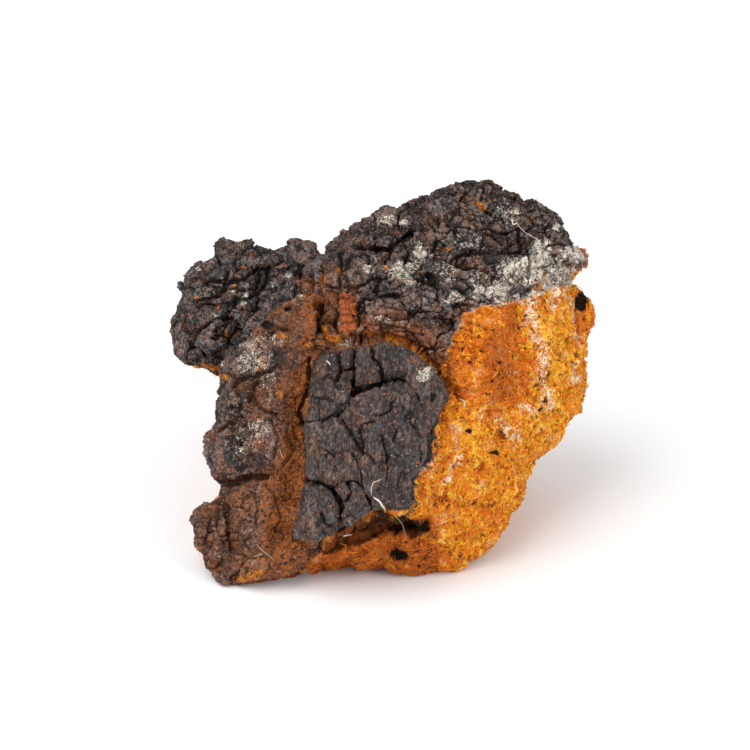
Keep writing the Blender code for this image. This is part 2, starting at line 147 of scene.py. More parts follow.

# The black plate of thick crust in front, and the hollow under its lower edge, which is sunk in and
# painted with shade
PLATE = [
    (-15.7, 6.0), (-9.7, 6.6), (-5.1, 7.4), (2.9, 9.4), (9.4, 6.9), (13.4, 4.0), (16.3, 0.9),
    (19.4, -2.6), (20.6, -5.4), (18.6, -10.0), (16.9, -14.9), (15.1, -24.6), (10.6, -30.3),
    (10.6, -35.7), (9.1, -37.7), (0.3, -38.3), (-4.6, -40.9), (-11.4, -44.9), (-14.9, -46.3),
    (-24.0, -47.4), (-23.1, -43.4), (-21.4, -37.7), (-20.0, -31.1), (-20.3, -26.6),
    (-20.0, -20.0), (-20.6, -14.9), (-18.6, -9.7), (-19.1, -4.6), (-16.9, 4.6),
]
HOLLOW = [
    (-15.6, -50.6), (-14.2, -47.0), (-11.0, -44.2), (-4.4, -40.3), (0.6, -37.9), (3.6, -38.2),
    (5.0, -39.0), (10.4, -39.6), (15.6, -40.9), (15.4, -43.8), (10.4, -46.4), (6.4, -45.9),
    (2.6, -45.4), (-1.9, -47.2), (-6.0, -48.4), (-10.6, -49.6), (-14.6, -51.8),
]
# The arched furrow over the plate
ARCH = [
    (-21.4, 28.3), (-17.7, 24.0), (-15.1, 17.7), (-13.1, 10.9), (-7.1, 9.7), (2.9, 10.9),
    (10.9, 8.0), (16.6, 2.6), (20.9, -2.3), (24.6, -6.6),
]
# Where the left flank stands in front of the lobe behind it
FLANK_EDGE = [
    (-15.5, 29.5), (-17.1, 26.1), (-22.7, 22.6), (-28.9, 19.1), (-33.7, 14.3), (-37.2, 11.5),
    (-40.7, 7.4), (-43.4, 3.2), (-44.6, -1.6), (-46.0, -6.0),
]
# The smooth red-brown wall beside the slot at the top of the valley: half width, line
SLOT_WALL = [(2.0, [(-19.0, 24.0), (-18.0, 14.0), (-19.5, 9.0)])]
# The upright valley to the left of the plate
VALLEY = [
    (-15.1, 17.1), (-16.6, 8.6), (-20.7, -1.4), (-22.1, -12.9), (-22.7, -24.3), (-24.1, -35.7),
    (-26.4, -47.1),
]
# Drawn cracks, cut into the skin and painted with shade on the crust: half width, depth, line
CRACKS = [
    (0.85, 2.6, [(-6.2, -5.6), (-4.6, -4.4), (-1.7, -3.6), (1.6, -2.6)]),
    (0.55, 2.2, [(1.6, -2.6), (4.2, -1.9), (6.0, -1.3), (8.9, -1.6)]),
    (0.30, 1.0, [(9.1, -2.5), (12.3, -6.4), (13.2, -9.3)]),
    (0.55, 2.2, [(-5.1, 7.6), (-5.8, 3.7), (-6.0, -0.6), (-6.3, -4.9)]),
    (0.40, 1.6, [(-6.3, -4.9), (-7.0, -8.3), (-8.9, -10.7), (-11.3, -12.1)]),
    (0.50, 1.8, [(-10.4, 6.8), (-10.1, 5.1), (-9.6, 2.3), (-10.8, -1.6)]),
    (0.35, 1.2, [(-9.9, 1.1), (-6.0, 2.0)]),
    (0.50, 1.8, [(-0.6, 8.8), (-0.5, 4.7), (1.7, 2.7), (2.4, -1.6)]),
    (0.22, 0.9, [(-18.4, -6.6), (-15.0, -6.8), (-11.8, -7.6)]),
    (0.22, 0.9, [(-18.6, -13.4), (-16.1, -13.1), (-13.0, -12.4), (-11.3, -12.1)]),
    (0.22, 0.8, [(-9.4, -8.3), (-7.0, -8.1)]), (0.22, 0.8, [(-15.7, -7.0), (-15.9, -12.9)]),
    (0.25, 0.9, [(4.8, -7.8), (4.4, -10.3), (2.6, -11.4), (0.2, -11.7)]),
    (0.22, 0.8, [(-3.1, -14.0), (-1.4, -13.8), (0.2, -13.4)]),
    (0.30, 1.0, [(9.9, -13.6), (11.5, -15.4), (12.7, -17.7)]),
    (0.55, 1.3, [(-8.9, -13.1), (-7.4, -15.6), (-6.0, -18.4), (-3.6, -21.8)]),
    (0.50, 1.3, [(-4.3, -15.5), (-3.1, -20.3), (-3.4, -22.4)]),
    (0.30, 0.9, [(-6.5, -22.3), (-4.9, -25.6), (-3.6, -29.5)]),
    (0.35, 0.9, [(1.7, -17.9), (3.3, -23.7), (3.1, -29.0)]),
    (0.80, 2.4, [(-19.6, -30.3), (-17.0, -30.6), (-13.2, -31.5), (-11.6, -33.2), (-10.2, -35.4),
                 (-9.1, -37.4), (-9.9, -40.6)]),
    (0.60, 2.2, [(-11.9, -32.4), (-8.9, -30.9), (-5.8, -30.3), (-3.7, -32.4), (-1.7, -36.5)]),
    (0.40, 1.4, [(-7.8, -31.0), (-6.9, -33.7), (-8.0, -35.6)]),
    (0.40, 1.3, [(-15.0, -38.9), (-14.7, -42.0), (-12.4, -43.1)]),
    (0.50, 1.2, [(-1.7, -36.5), (-1.0, -38.6)]),
    (0.50, 0.9, [(-34.5, -3.7), (-34.8, -7.1), (-31.7, -10.6), (-28.3, -11.3)]),
    (0.45, 0.8, [(-31.7, -30.7), (-28.9, -33.4), (-26.9, -39.7), (-27.5, -45.2)]),
    (0.45, 0.8, [(-35.1, -33.4), (-33.7, -38.3), (-35.1, -43.7)]),
    (0.45, 0.8, [(-30.0, -13.0), (-27.8, -18.0), (-28.9, -24.4)]),
    (0.45, 0.8, [(-40.0, -4.5), (-38.4, -8.4), (-39.4, -11.6)]),
    (0.45, 0.8, [(-42.6, -18.0), (-38.0, -21.0), (-34.6, -24.6)]),
    (0.60, 1.4, [(-31.8, 10.6), (-28.4, 13.4), (-25.4, 13.0)]),
    (0.55, 2.4, [(-5.7, 36.6), (-0.6, 36.0), (4.0, 36.0), (8.0, 38.9), (10.3, 41.1)]),
    (0.45, 1.6, [(-2.0, 35.4), (-1.7, 32.0)]),
    (0.45, 1.6, [(4.6, 35.4), (2.9, 32.0)]),
    (0.50, 1.8, [(15.1, 29.7), (17.4, 25.4), (18.0, 22.0)]),
    (0.50, 1.7, [(41.4, 41.3), (41.4, 38.9), (41.8, 35.7)]),
    (0.45, 1.6, [(-10.3, 35.4), (-10.0, 29.7)]),
    (1.00, 4.2, [(-18.0, 26.6), (-16.7, 24.6), (-15.8, 19.0), (-15.4, 12.4)]),
    (0.40, 2.0, [(-18.8, 5.0), (-19.6, -4.5), (-21.2, -9.5), (-21.0, -15.0)]),
    (0.45, 1.5, [(-9.3, 31.7), (-6.9, 33.4), (-2.7, 34.7)]),
    (0.50, 1.7, [(-13.2, 25.0), (-9.9, 25.9), (-5.7, 25.0), (-2.7, 26.7), (-0.2, 28.4), (3.9, 27.6)]),
    (0.45, 1.6, [(0.6, 27.9), (0.6, 26.3), (0.4, 22.5)]),
    (0.50, 1.7, [(-5.3, 18.7), (-4.4, 20.9), (-3.2, 22.1), (0.6, 22.5), (3.9, 23.4), (7.0, 22.6)]),
    (0.45, 1.6, [(-10.1, 29.2), (-9.9, 25.9)]),
    (0.55, 1.8, [(-15.7, 31.7), (-16.2, 29.2), (-14.9, 26.7), (-13.2, 25.0), (-12.4, 22.6)]),
    (0.50, 1.7, [(16.9, 39.9), (17.2, 37.1), (16.2, 35.7)]),
    (0.50, 1.7, [(22.0, 33.0), (23.8, 34.4), (25.9, 34.7), (30.7, 35.7), (35.6, 35.1), (41.8, 35.4)]),
    (0.50, 1.6, [(23.8, 34.0), (23.6, 32.3), (25.2, 30.9), (30.0, 30.9), (33.0, 29.8)]),
    (0.50, 1.7, [(43.9, 35.7), (44.6, 30.9), (43.9, 28.1)]),
    (0.45, 1.5, [(8.0, 38.9), (9.4, 35.0), (8.4, 31.0)]),
    (0.45, 1.5, [(5.7, 16.0), (9.7, 16.6), (13.1, 18.6), (15.4, 17.7)]),
    (0.60, 1.7, [(-53.0, 8.0), (-50.5, 13.0), (-46.0, 16.0), (-41.5, 16.6), (-39.0, 14.0)]),
    (0.60, 1.7, [(-48.0, 27.6), (-43.0, 26.6), (-37.0, 27.6), (-33.4, 30.6)]),
    (0.60, 1.7, [(-52.0, 21.0), (-47.6, 21.6), (-42.8, 24.8), (-42.0, 30.0)]),
    (0.60, 1.7, [(-30.0, 31.6), (-31.4, 26.0), (-35.4, 22.4)]),
    (0.45, 1.4, [(-11.4, 23.4), (-11.0, 17.0), (-10.9, 12.4)]),
    (0.50, 1.6, [(-4.2, 18.6), (-5.0, 17.6), (-4.9, 13.2)]),
    (0.35, 0.8, [(-10.7, 17.3), (-7.4, 16.9), (-5.2, 17.2)]),
    (0.55, 1.6, [(-46.0, 12.9), (-42.5, 17.0), (-39.1, 22.7)]),
    (0.60, 1.2, [(-40.3, -2.6), (-38.0, -1.1), (-34.3, -0.6), (-31.1, 0.9), (-28.3, 2.6)]),
    (0.55, 1.0, [(-34.0, -2.0), (-35.4, -4.0), (-35.7, -6.9)]),
    (0.60, 1.2, [(-45.4, -16.4), (-43.4, -15.4), (-41.1, -13.4), (-38.9, -11.7)]),
    (0.70, 1.6, [(-47.1, -31.0), (-42.0, -30.9), (-38.9, -30.3), (-35.4, -29.2), (-31.4, -29.1)]),
    (0.55, 1.2, [(-44.9, -36.0), (-42.9, -37.7), (-42.3, -41.1), (-42.0, -44.9), (-40.9, -50.0)]),
    (0.60, 1.6, [(55.6, 24.4), (56.6, 20.0), (57.3, 15.0), (57.6, 10.0)]),
    (0.35, 1.3, [(12.6, 46.6), (15.4, 44.6), (17.0, 41.6), (20.4, 40.6)]),
    (0.35, 1.3, [(20.4, 40.6), (24.0, 42.6), (27.6, 41.6)]), (0.35, 1.3, [(27.6, 41.6), (29.0, 38.0)]),
    (0.35, 1.3, [(31.0, 44.0), (33.6, 41.0), (37.6, 40.4), (41.0, 42.0)]),
    (0.35, 1.2, [(8.4, 31.0), (12.0, 27.6), (16.4, 27.0)]), (0.35, 1.2, [(24.0, 29.0), (27.0, 25.0)]),
]
# Pits and holes, sunk in and painted dark as shade: across, up, half width across, half width up, depth
HOLES = [
    (6.8, -51.1, 3.0, 1.5, 1.8), (59.0, 20.8, 1.8, 2.7, 4.4),
    (-30.7, 14.4, 1.8, 1.2, 2.4), (-24.7, 18.8, 1.2, 0.7, 1.8), (49.0, 0.4, 0.8, 0.7, 1.0),
    (47.9, -6.7, 0.7, 0.7, 0.9), (46.5, -9.4, 0.7, 0.6, 0.9), (33.5, -22.1, 1.0, 0.6, 1.1),
    (26.1, -15.7, 0.8, 0.7, 0.9), (-26.0, 26.5, 0.9, 0.7, 1.0),
]
# Slivers of crust left on the flesh: half width, line
SLIVERS = [(1.0, [(46.9, -21.4), (50.0, -19.2), (52.4, -15.6), (53.6, -13.0)])]
# The brown knob at the right edge, which the dark hole is in
KNOB = [(57.2, 25.5), (65.0, 25.5), (65.0, 7.5), (58.4, 7.5), (57.4, 14.0)]
# Blotches of pale mould: across, up, half width across, half width up
MOULD = [
    (8.2, 30.2, 4.6, 3.4), (13.2, 35.0, 3.0, 3.0), (-1.6, 30.8, 1.5, 1.4), (10.5, 26.8, 2.4, 1.0),
    (46.3, 30.6, 6.8, 5.6), (47.6, 36.4, 3.6, 2.8), (39.4, 29.7, 4.8, 4.2), (35.1, 24.6, 4.0, 3.2),
    (30.6, 23.4, 3.2, 2.0), (22.4, 22.4, 3.6, 2.2), (52.5, 29.5, 3.4, 3.6), (57.0, 34.6, 4.4, 2.6),
    (13.7, 0.0, 2.4, 1.9), (52.0, 42.6, 1.2, 1.1), (-29.1, 26.3, 2.2, 0.9), (-37.1, 23.1, 1.0, 0.8),
    (-37.4, 21.1, 1.0, 0.9), (-25.1, 28.6, 1.6, 0.8), (39.7, 46.6, 2.2, 0.8), (8.5, 43.7, 1.7, 1.2),
    (-40.6, 24.2, 1.0, 0.6), (-50.6, 30.6, 0.8, 0.9), (50.4, 25.6, 2.6, 1.9), (54.6, 27.0, 2.4, 2.2),
    (45.4, 23.6, 2.2, 1.3), (36.0, 21.0, 2.4, 1.0),
]
# Thinner frost of the same mould
FROST = [
    (-36.0, 5.0, 5.4, 8.0), (-34.3, -15.7, 5.0, 4.4), (-38.6, -20.0, 4.6, 4.0),
    (-29.4, 10.6, 4.6, 2.4), (-45.0, 15.0, 2.4, 3.4),
    (-31.0, 0.0, 4.0, 6.0), (37.0, 46.0, 5.0, 4.4), (27.0, 39.0, 6.0, 4.0), (2.0, 44.0, 6.0, 2.4),
    (20.0, 30.0, 5.0, 4.0), (30.0, 28.0, 5.0, 4.0), (2.6, 16.2, 3.6, 1.2), (-22.0, 24.0, 3.0, 3.4),
    (-9.0, 9.4, 4.0, 1.2),
    (48.0, 25.5, 5.0, 2.6), (40.5, 22.0, 4.4, 2.0), (31.0, 20.2, 4.0, 1.5), (55.5, 29.0, 3.0, 3.0),
]
# Pale streaks in the flesh: half width, line
STREAKS = [
    (1.7, [(44.3, 24.3), (44.6, 15.7), (46.3, 8.6), (47.4, -1.4), (48.9, -8.6)]),
    (1.0, [(24.0, -23.3), (19.4, -29.6)]),
    (1.8, [(34.5, -12.4), (39.5, -17.0)]),
    (1.2, [(42.0, -9.4), (45.0, -10.4)]),
    (0.9, [(55.5, 22.0), (57.4, 11.1)]),
    (1.0, [(55.9, 3.0), (56.0, -1.0)]),
    (2.2, [(50.7, 21.4), (55.1, 30.3)]),
    (0.5, [(24.4, 15.0), (22.4, 12.0)]),
]
# A block of the crust that has lost its black skin and is brick red
RED_BLOCK = [(-11.5, 22.5), (-9.0, 23.6), (-5.6, 22.3), (-5.3, 12.4), (-10.4, 12.2), (-11.2, 17.0)]
# Rust-orange flesh showing through the crust: half width, line
RUSTED = [
    (0.9, [(2.6, 10.8), (6.3, 9.6), (10.6, 7.4), (14.6, 3.6), (18.3, 0.2), (21.4, -2.4)]),
    (0.5, [(-3.0, 11.6), (0.6, 11.6)]),
    (0.8, [(-13.4, 10.8), (-10.6, 11.2)]), (0.6, [(-8.6, 10.9), (-6.6, 11.6)]),
    (0.7, [(-13.5, 13.6), (-13.3, 11.4)]),
    (0.5, [(-22.4, -47.6), (-18.0, -47.1), (-13.4, -46.5)]), (0.6, [(-3.4, -40.8), (0.2, -39.2)]),
    (0.9, [(-48.9, 2.4), (-46.0, 0.6), (-43.4, -0.6)]),
    (0.8, [(-26.8, 11.2), (-25.6, 10.8)]), (0.5, [(-32.6, 4.9), (-32.2, 4.4)]),
    (0.6, [(-19.6, 8.5), (-19.2, 8.1)]), (0.8, [(-27.6, -5.0), (-27.2, -5.6)]),
    (0.5, [(-12.3, 1.6), (-11.0, 1.6)]), (0.7, [(-10.9, 30.7), (-10.3, 30.5)]),
    (0.8, [(-15.0, 28.2), (-14.6, 27.4)]), (0.5, [(-37.9, 30.9), (-37.2, 30.7)]),
    (0.4, [(-40.6, 25.4), (-39.8, 25.8)]), (0.4, [(-51.4, 22.0), (-50.8, 22.0)]),
    (0.4, [(-45.6, 20.4), (-45.2, 19.2)]), (0.5, [(-42.5, 11.6), (-42.1, 10.6)]),
    (1.6, [(-38.0, -58.0), (-33.0, -57.0)]), (1.5, [(46.2, 23.5), (48.2, 28.0)]),
    (0.7, [(29.8, 49.0), (31.2, 47.4)]), (0.5, [(20.6, 36.4), (21.2, 36.0)]),
    (0.5, [(3.2, 31.0), (3.6, 30.8)]),
]
# Chaff, straw and hairs lying on the lump: radius, lift of the middle, shade, line
LITTER = [
    (0.08, 0.8, 0.6, [(40.0, 43.4), (42.9, 40.9), (46.0, 39.0), (47.4, 37.4)]),
    (0.22, 0.2, 0.6, [(38.6, 44.4), (39.6, 43.2), (40.6, 43.4)]),
    (0.10, 0.4, 0.6, [(2.0, -29.4), (-0.2, -30.6), (-1.4, -32.6), (-0.6, -34.4)]),
    (0.26, 0.3, 0.7, [(-0.4, -34.6), (1.4, -36.6), (3.0, -38.4)]),
    (0.26, 0.2, 0.2, [(2.4, -37.8), (3.4, -39.2)]),
    (0.06, 0.8, 0.4, [(5.4, -39.7), (7.7, -43.1), (9.4, -46.3)]),
    (0.07, 0.5, 0.5, [(-33.6, -48.0), (-31.4, -50.9), (-28.6, -53.4)]),
    (0.05, 0.3, 0.5, [(-34.6, -52.0), (-31.8, -51.4)]),
    (0.18, 0.2, 0.6, [(24.0, -6.9), (25.4, -7.8), (26.0, -8.9)]),
    (0.09, 0.2, 0.5, [(-27.0, -20.9), (-26.4, -24.4)]),
    (0.14, 0.1, 0.8, [(-13.7, 4.3), (-13.1, 2.6)]),
    (0.12, 0.1, 0.7, [(-9.0, -46.0), (-6.6, -45.9)]),
]


def to_seen(points):
    """(across, up, towards) as the camera sees them, from points in space."""
    offset = points - PICTURE_CENTRE
    towards = offset @ TO_EYE
    nearer = (EYE_DISTANCE - towards) / EYE_DISTANCE
    return np.stack([offset @ RIGHTWARD / nearer, offset @ UPWARD / nearer, towards], axis=1)


def from_seen(seen):
    """Points in space from (across, up, towards) as the camera sees them."""
    nearer = (EYE_DISTANCE - seen[:, 2:]) / EYE_DISTANCE
    sheet = (seen[:, :1] * RIGHTWARD + seen[:, 1:2] * UPWARD) * nearer
    return PICTURE_CENTRE + sheet + seen[:, 2:] * TO_EYE


def ramp(low, high, value):
    """0 at low, 1 at high, smooth between and flat beyond. Low may be above high."""
    t = np.clip((value - low) / (high - low), 0.0, 1.0)
    return t * t * (3.0 - 2.0 * t)


def dots(first, second):
    """The dot product of each pair of rows."""
    return np.einsum("ij,ij->i", first, second)


def unit(rows):
    """Each row drawn to a length of 1."""
    return rows / np.linalg.norm(rows, axis=1)[:, None]


def line_gap(points, line):
    """Distance in the picture from each point to a line of straight runs."""
    line = np.array(line, float)
    gap = np.full(len(points), np.inf)
    for start, end in zip(line[:-1], line[1:]):
        along = end - start
        share = np.clip((points - start) @ along / (along @ along), 0.0, 1.0)
        gap = np.minimum(gap, np.linalg.norm(points - start - share[:, None] * along, axis=1))
    return gap


def depth_inside(points, outline):
    """How far inside a closed outline each point lies in the picture; outside it is negative."""
    ring = np.array(list(outline) + [outline[0]], float)
    inside = np.zeros(len(points), bool)
    for (x0, y0), (x1, y1) in zip(ring[:-1], ring[1:]):
        spans = (y0 > points[:, 1]) != (y1 > points[:, 1])
        if spans.any():
            crossing = x0 + (points[:, 1] - y0) * (x1 - x0) / (y1 - y0)
            inside ^= spans & (points[:, 0] < crossing)
    return np.where(inside, 1.0, -1.0) * line_gap(points, ring)


def oval_gap(points, across, up, half_across, half_up):
    """How far each point lies from an oval's middle in the picture: 1 on its edge."""
    return np.hypot((points[:, 0] - across) / half_across, (points[:, 1] - up) / half_up)


def blotches(points, spots):
    """1 in the middle of each soft-edged oval spot, falling to 0 outside it."""
    cover = np.zeros(len(points))
    for spot in spots:
        cover = np.maximum(cover, ramp(1.35, 0.35, oval_gap(points, *spot)))
    return cover


def in_band(points, line):
    """1 left of and above a line of straight runs that goes down to the left, and 0 below it."""
    far = [(line[-1][0] - 60.0, line[-1][1] - 20.0), (-90.0, 90.0), (line[0][0], 90.0)]
    return ramp(-0.3, 0.3, depth_inside(points, line + far))


def strokes(points, lines):
    """1 along each soft-edged stroke of (half width, line), falling to 0 beside it."""
    cover = np.zeros(len(points))
    for half_width, line in lines:
        cover = np.maximum(cover, ramp(half_width * 1.3, half_width * 0.5, line_gap(points, line)))
    return cover


def furrow(gap, width):
    """1 where the gap is 0, and falling off to both sides over the width."""
    return np.exp(-(gap / width) ** 2)


def hills(points, size, seed):
    """Smooth noise from -1 to 1 with hills of the given size."""
    shift = np.array([seed * 17.3, seed * 5.1, seed * 9.7])
    return np.array([noise.noise(place) for place in (points / size + shift).tolist()])


def crests(points, size, seed, top=1.0, fall=2.5):
    """Thin crests that wind over the surface, from top down to about -1 between them."""
    return top - fall * np.abs(hills(points, size, seed))


def drift(points, size, *seeds):
    """Smooth noises side by side, one for each seed, to push places about with."""
    return np.column_stack([hills(points, size, seed) for seed in seeds])


def cells(points, size, seed, droop=0.0):
    """Cells of the given size. For each point: how far it is from the nearest wall and from its
    cell's core, a number from -1 to 1 for its cell, and how far it stands up if its cell leans,
    which is any way, but with droop more often with its lower side out."""
    shift = np.array([seed * 11.9, seed * 3.7, seed * 7.1])
    places = points / size + shift
    found = [noise.voronoi(place) for place in places.tolist()]
    near = np.array([cores[0] for _, cores in found])
    far = np.array([cores[1] for _, cores in found])
    wall = dots((near + far) / 2 - places, unit(far - near)) * size
    core = np.linalg.norm(places - near, axis=1) * size
    names = (near * 31.0).tolist()
    number = np.array([noise.cell(name) for name in names])
    way = np.array([noise.cell_vector(name) for name in names]) * 2.0 - (1.0, 1.0, 1.0 + droop)
    return wall, core, number, dots(places - near, way) * size


def vertex_array(mesh, normals=False):
    """The mesh's points, or their normals, one in each row."""
    values = np.empty(len(mesh.vertices) * 3, np.float32)
    source = mesh.vertex_normals if normals else mesh.vertices
    source.foreach_get("vector" if normals else "co", values)
    return values.reshape(-1, 3).astype(float)


def even_skin(node):
    """The CAD node's surface as fine even squares with its facets smoothed away."""
    thing = bpy.data.objects.new("skin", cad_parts[node].data.copy())
    bpy.context.scene.collection.objects.link(thing)
    weld = thing.modifiers.new("Join corners", "WELD")
    weld.merge_threshold = 0.00001
    remesh = thing.modifiers.new("Even skin", "REMESH")
    remesh.mode = "VOXEL"
    remesh.voxel_size = SKIN_GRAIN * MM
    smooth = thing.modifiers.new("Smooth facets", "SMOOTH")
    smooth.factor = 0.5
    smooth.iterations = FACET_SMOOTHING
    graph = bpy.context.evaluated_depsgraph_get()
    mesh = bpy.data.meshes.new_from_object(thing.evaluated_get(graph))
    bpy.data.objects.remove(thing)
    return mesh


def crust_relief(grown, smooth, calm):
    """How the cracked crust stands up, how open its cracks are, and a brightness for each chip: its own
    tone, with painted light where its crumbs stand up.
    Where smooth is 1 it is hardly cracked, and where calm is 1 its blocks are rounder."""
    bent = grown + 1.3 * drift(grown, 6.0, 5, 6, 7)
    bent += 0.35 * drift(grown, 1.3, 26, 27, 28)
    block_wall, _, block, block_lean = cells(bent, BLOCK_SIZE, 1)
    chip_wall, _, chip, chip_lean = cells(bent * (1.0, 1.0, 1.3), CHIP_SIZE, 2, 0.6)
    _, _, crumb, crumb_lean = cells(bent * (1.0, 1.0, 1.2), CRUMB_SIZE, 5, 0.4)
    rough = 1.0 - 0.65 * smooth
    fine = 1.0 - 0.65 * calm
    open_blocks = 0.3 + 0.7 * ramp(-0.3, 0.0, hills(grown, 6.0, 40))
    open_chips = ramp(-0.20, 0.1, hills(grown, 5.0, 41))
    block_crack = rough * open_blocks * ramp(0.36, 0.08, block_wall)
    chip_crack = rough * open_chips * ramp(0.30, 0.05, chip_wall)
    raised = rough * (0.30 * block + 0.10 * block_lean + fine * (0.20 * chip + 0.16 * chip_lean))
    raised += fine * (0.04 * crumb + 0.09 * crumb_lean) + 0.06 * hills(grown, 0.7, 24)
    wrinkles = crests(bent * (1.0, 1.0, 0.45), 3.0, 46)
    wrinkles += crests(bent * (1.0, 1.0, 0.5), 1.3, 47, 0.7, 1.7)
    raised += smooth * (0.42 * wrinkles + 0.9 * hills(bent, 6.0, 48) - 0.3) - 0.35
    raised -= 1.9 * block_crack + fine * chip_crack
    shade = 0.5 + 0.16 * chip + 0.16 * block + 0.3 * crumb_lean
    return raised, np.maximum(block_crack, 0.8 * chip_crack), shade


def plate_relief(grown, seen):
    """The same for the plate, which is split along its upright grain."""
    bend = 1.1 * hills(grown, 5.0, 1) + 0.3 * hills(grown, 1.2, 45)
    grain = np.column_stack([seen[:, 0] + bend, seen[:, 1] * 0.26, seen[:, 2] * 0.4])
    wall, _, split, split_lean = cells(grain, 3.2, 3)
    _, _, sliver, sliver_lean = cells(grain * (1.0, 0.9, 1.0), 1.1, 7)
    _, _, crumb, crumb_lean = cells(grown + 0.3 * drift(grown, 1.3, 26, 27, 28), CRUMB_SIZE, 5)
    crack = ramp(0.26, 0.04, wall) * ramp(-0.05, 0.3, hills(grown, 5.0, 30))
    raised = 0.12 * split + 0.14 * split_lean + 0.08 * sliver + 0.22 * sliver_lean
    raised += 0.03 * crumb + 0.09 * crumb_lean + 0.06 * hills(grown, 0.7, 24) - 0.7 * crack
    shade = 0.5 + 0.05 * split + 0.07 * sliver + 0.3 * crumb_lean
    return raised, crack, shade


def flesh_relief(grown):
    """How the torn flesh stands up in clods, folds and fibres, its pores, and its brightness, which is
    painted light and shade: lighter on its fibres and ridges, darker in its folds.
    """
    rag = drift(grown, 2.6, 32, 33, 34)
    upright = (1.0, 1.0, 0.6)
    fibres = crests((grown + 1.2 * rag) * upright, 2.1, 35)
    threads = crests((grown + 0.8 * rag) * upright, 0.9, 36)
    folds = crests(grown + 1.5 * rag, 7.0, 55)
    _, _, clod, clod_lean = cells(grown + 0.8 * rag, 4.2, 6)
    _, _, crumb, crumb_lean = cells(grown + 0.5 * rag, CRUMB_SIZE, 5)
    _, core, number, _ = cells(grown, 2.7, 4)
    pore = ramp(0.8, 0.35, core) * (number > 0.35)
    raised = 0.7 * rag[:, 0] + 0.30 * clod + 0.22 * clod_lean + folds
    raised += 0.34 * fibres + 0.26 * threads + 0.10 * crumb + 0.34 * crumb_lean - 0.9 * pore
    shade = np.clip(0.42 + 0.22 * threads + 0.3 * fibres + 0.3 * crumb_lean + 0.26 * folds, 0.0, 1.0)
    return raised, pore, shade


def survey(points, normals):
    """Where each point lies in the picture, how far it faces the camera, and which part it is of."""
    spot = SimpleNamespace(seen=to_seen(points), grown=points - GROWN_AT)
    spot.flat = spot.seen[:, :2]
    spot.across, spot.up, towards = spot.seen.T
    spot.facing = ramp(-0.15, 0.25, normals @ TO_EYE)
    spot.visible = ramp(-0.5, -0.1, normals @ TO_EYE)
    spot.coarse = hills(spot.grown, 5.0, 1)

    # Places in the picture, pushed about a little or more, so that edges drawn there come out uneven
    spot.thin = spot.flat + 0.3 * drift(spot.grown, 1.3, 23, 25)
    spot.loose = spot.flat + 0.7 * drift(spot.grown, 5.0, 1, 2) + 0.35 * drift(spot.grown, 1.7, 21, 22)
    spot.arch = line_gap(spot.loose, ARCH)
    spot.valley = line_gap(spot.loose, VALLEY)

    # Plate, torn flesh and crust
    spot.within = depth_inside(spot.loose + 0.4 * drift(spot.grown, 1.0, 57, 58), PLATE)
    spot.on_plate = spot.facing * ramp(-0.3, 0.3, spot.within)
    spot.off_plate = 1.0 - spot.on_plate
    in_front = depth_inside(spot.loose, FLESH) - 6.0 * strokes(spot.loose, SLIVERS)
    behind = (spot.grown - np.array(TEAR_POINT)) @ np.array(TEAR_NORMAL)
    behind += 2.0 * spot.coarse
    behind += 0.8 * hills(spot.grown, 1.3, 23)
    spot.flesh = in_front * spot.facing + behind * (1.0 - spot.facing)
    spot.torn = ramp(-0.3, 0.5, spot.flesh) * spot.off_plate
    spot.crust = (1.0 - spot.torn) * spot.off_plate

    # The left flank's crust is smoother than the rest, and the lobe's blocks are rounder
    spot.past_edge = in_band(spot.loose, FLANK_EDGE)
    spot.toe = spot.facing * ramp(-34.0, -38.0, spot.across) * ramp(-28.0, -33.0, spot.up)
    spot.flank = ramp(-14.0, -20.0, spot.across) * (1.0 - spot.past_edge) * spot.facing
    spot.flank *= 1.0 - 0.6 * spot.toe
    spot.lobe = np.maximum(spot.past_edge, ramp(-14.0, -20.0, towards) * ramp(-5.0, -15.0, spot.across))
    return spot


def drawn_lines(spot):
    """How far the plate, furrows and drawn cracks raise each point, and how open its cracks are."""
    # Furrows are sharpened where the smoothing of the facets has softened them
    swell = 0.9 * spot.on_plate * ramp(-0.3, 0.6, spot.within)
    swell -= spot.facing * (1.8 * furrow(spot.arch, 0.9) + 1.2 * furrow(spot.valley, 3.0))
    crack = np.zeros(len(swell))
    for half_width, depth, line in CRACKS:
        drawn = spot.facing * ramp(half_width * 1.5, half_width * 0.5, line_gap(spot.thin, line))
        swell -= depth * 1.2 * drawn
        crack = np.maximum(crack, drawn * min(1.0, depth / 1.2))
    edge = line_gap(spot.loose, FLANK_EDGE)
    swell -= spot.facing * spot.past_edge * 2.6 * furrow(edge, 2.2)
    return swell, crack


def drawn_holes(spot):
    """How far the holes sink each point away from the camera, and how far it lies in one, which the
    material paints dark as shade.
    """
    sunk = np.zeros(len(spot.thin))
    pit = np.zeros(len(spot.thin))
    for across, up, half_across, half_up, depth in HOLES:
        hole = spot.visible * ramp(1.25, 0.75, oval_gap(spot.thin, across, up, half_across, half_up))
        sunk += depth * hole
        pit = np.maximum(pit, hole)
    return sunk, pit


def add_relief(spot, swell, crack, pit):
    """Adds each kind of surface's own relief to these, and tells how bright each point is: its own
    tone, with painted light and shade from that relief.
    """
    shade = np.zeros(len(swell))
    for share, relief, needs in (
            (spot.crust, crust_relief, (spot.grown, spot.flank, spot.lobe)),
            (spot.on_plate, plate_relief, (spot.grown, spot.seen))):
        some = np.flatnonzero(share)
        raised, split, tone = relief(*[values[some] for values in needs])
        swell[some] += share[some] * raised
        crack[some] = np.maximum(crack[some], share[some] * split)
        shade[some] += share[some] * tone
    some = np.flatnonzero(spot.torn)
    torn = spot.torn[some]
    raised, pore, tone = flesh_relief(spot.grown[some])
    smoother = 1.0 - 0.6 * ramp(-2.0, 1.0, depth_inside(spot.flat[some], KNOB))
    swell[some] += torn * raised * smoother
    pit[some] = np.maximum(pit[some], 0.7 * torn * pore)
    shade[some] += torn * tone
    return np.clip(shade, 0.0, 1.0)


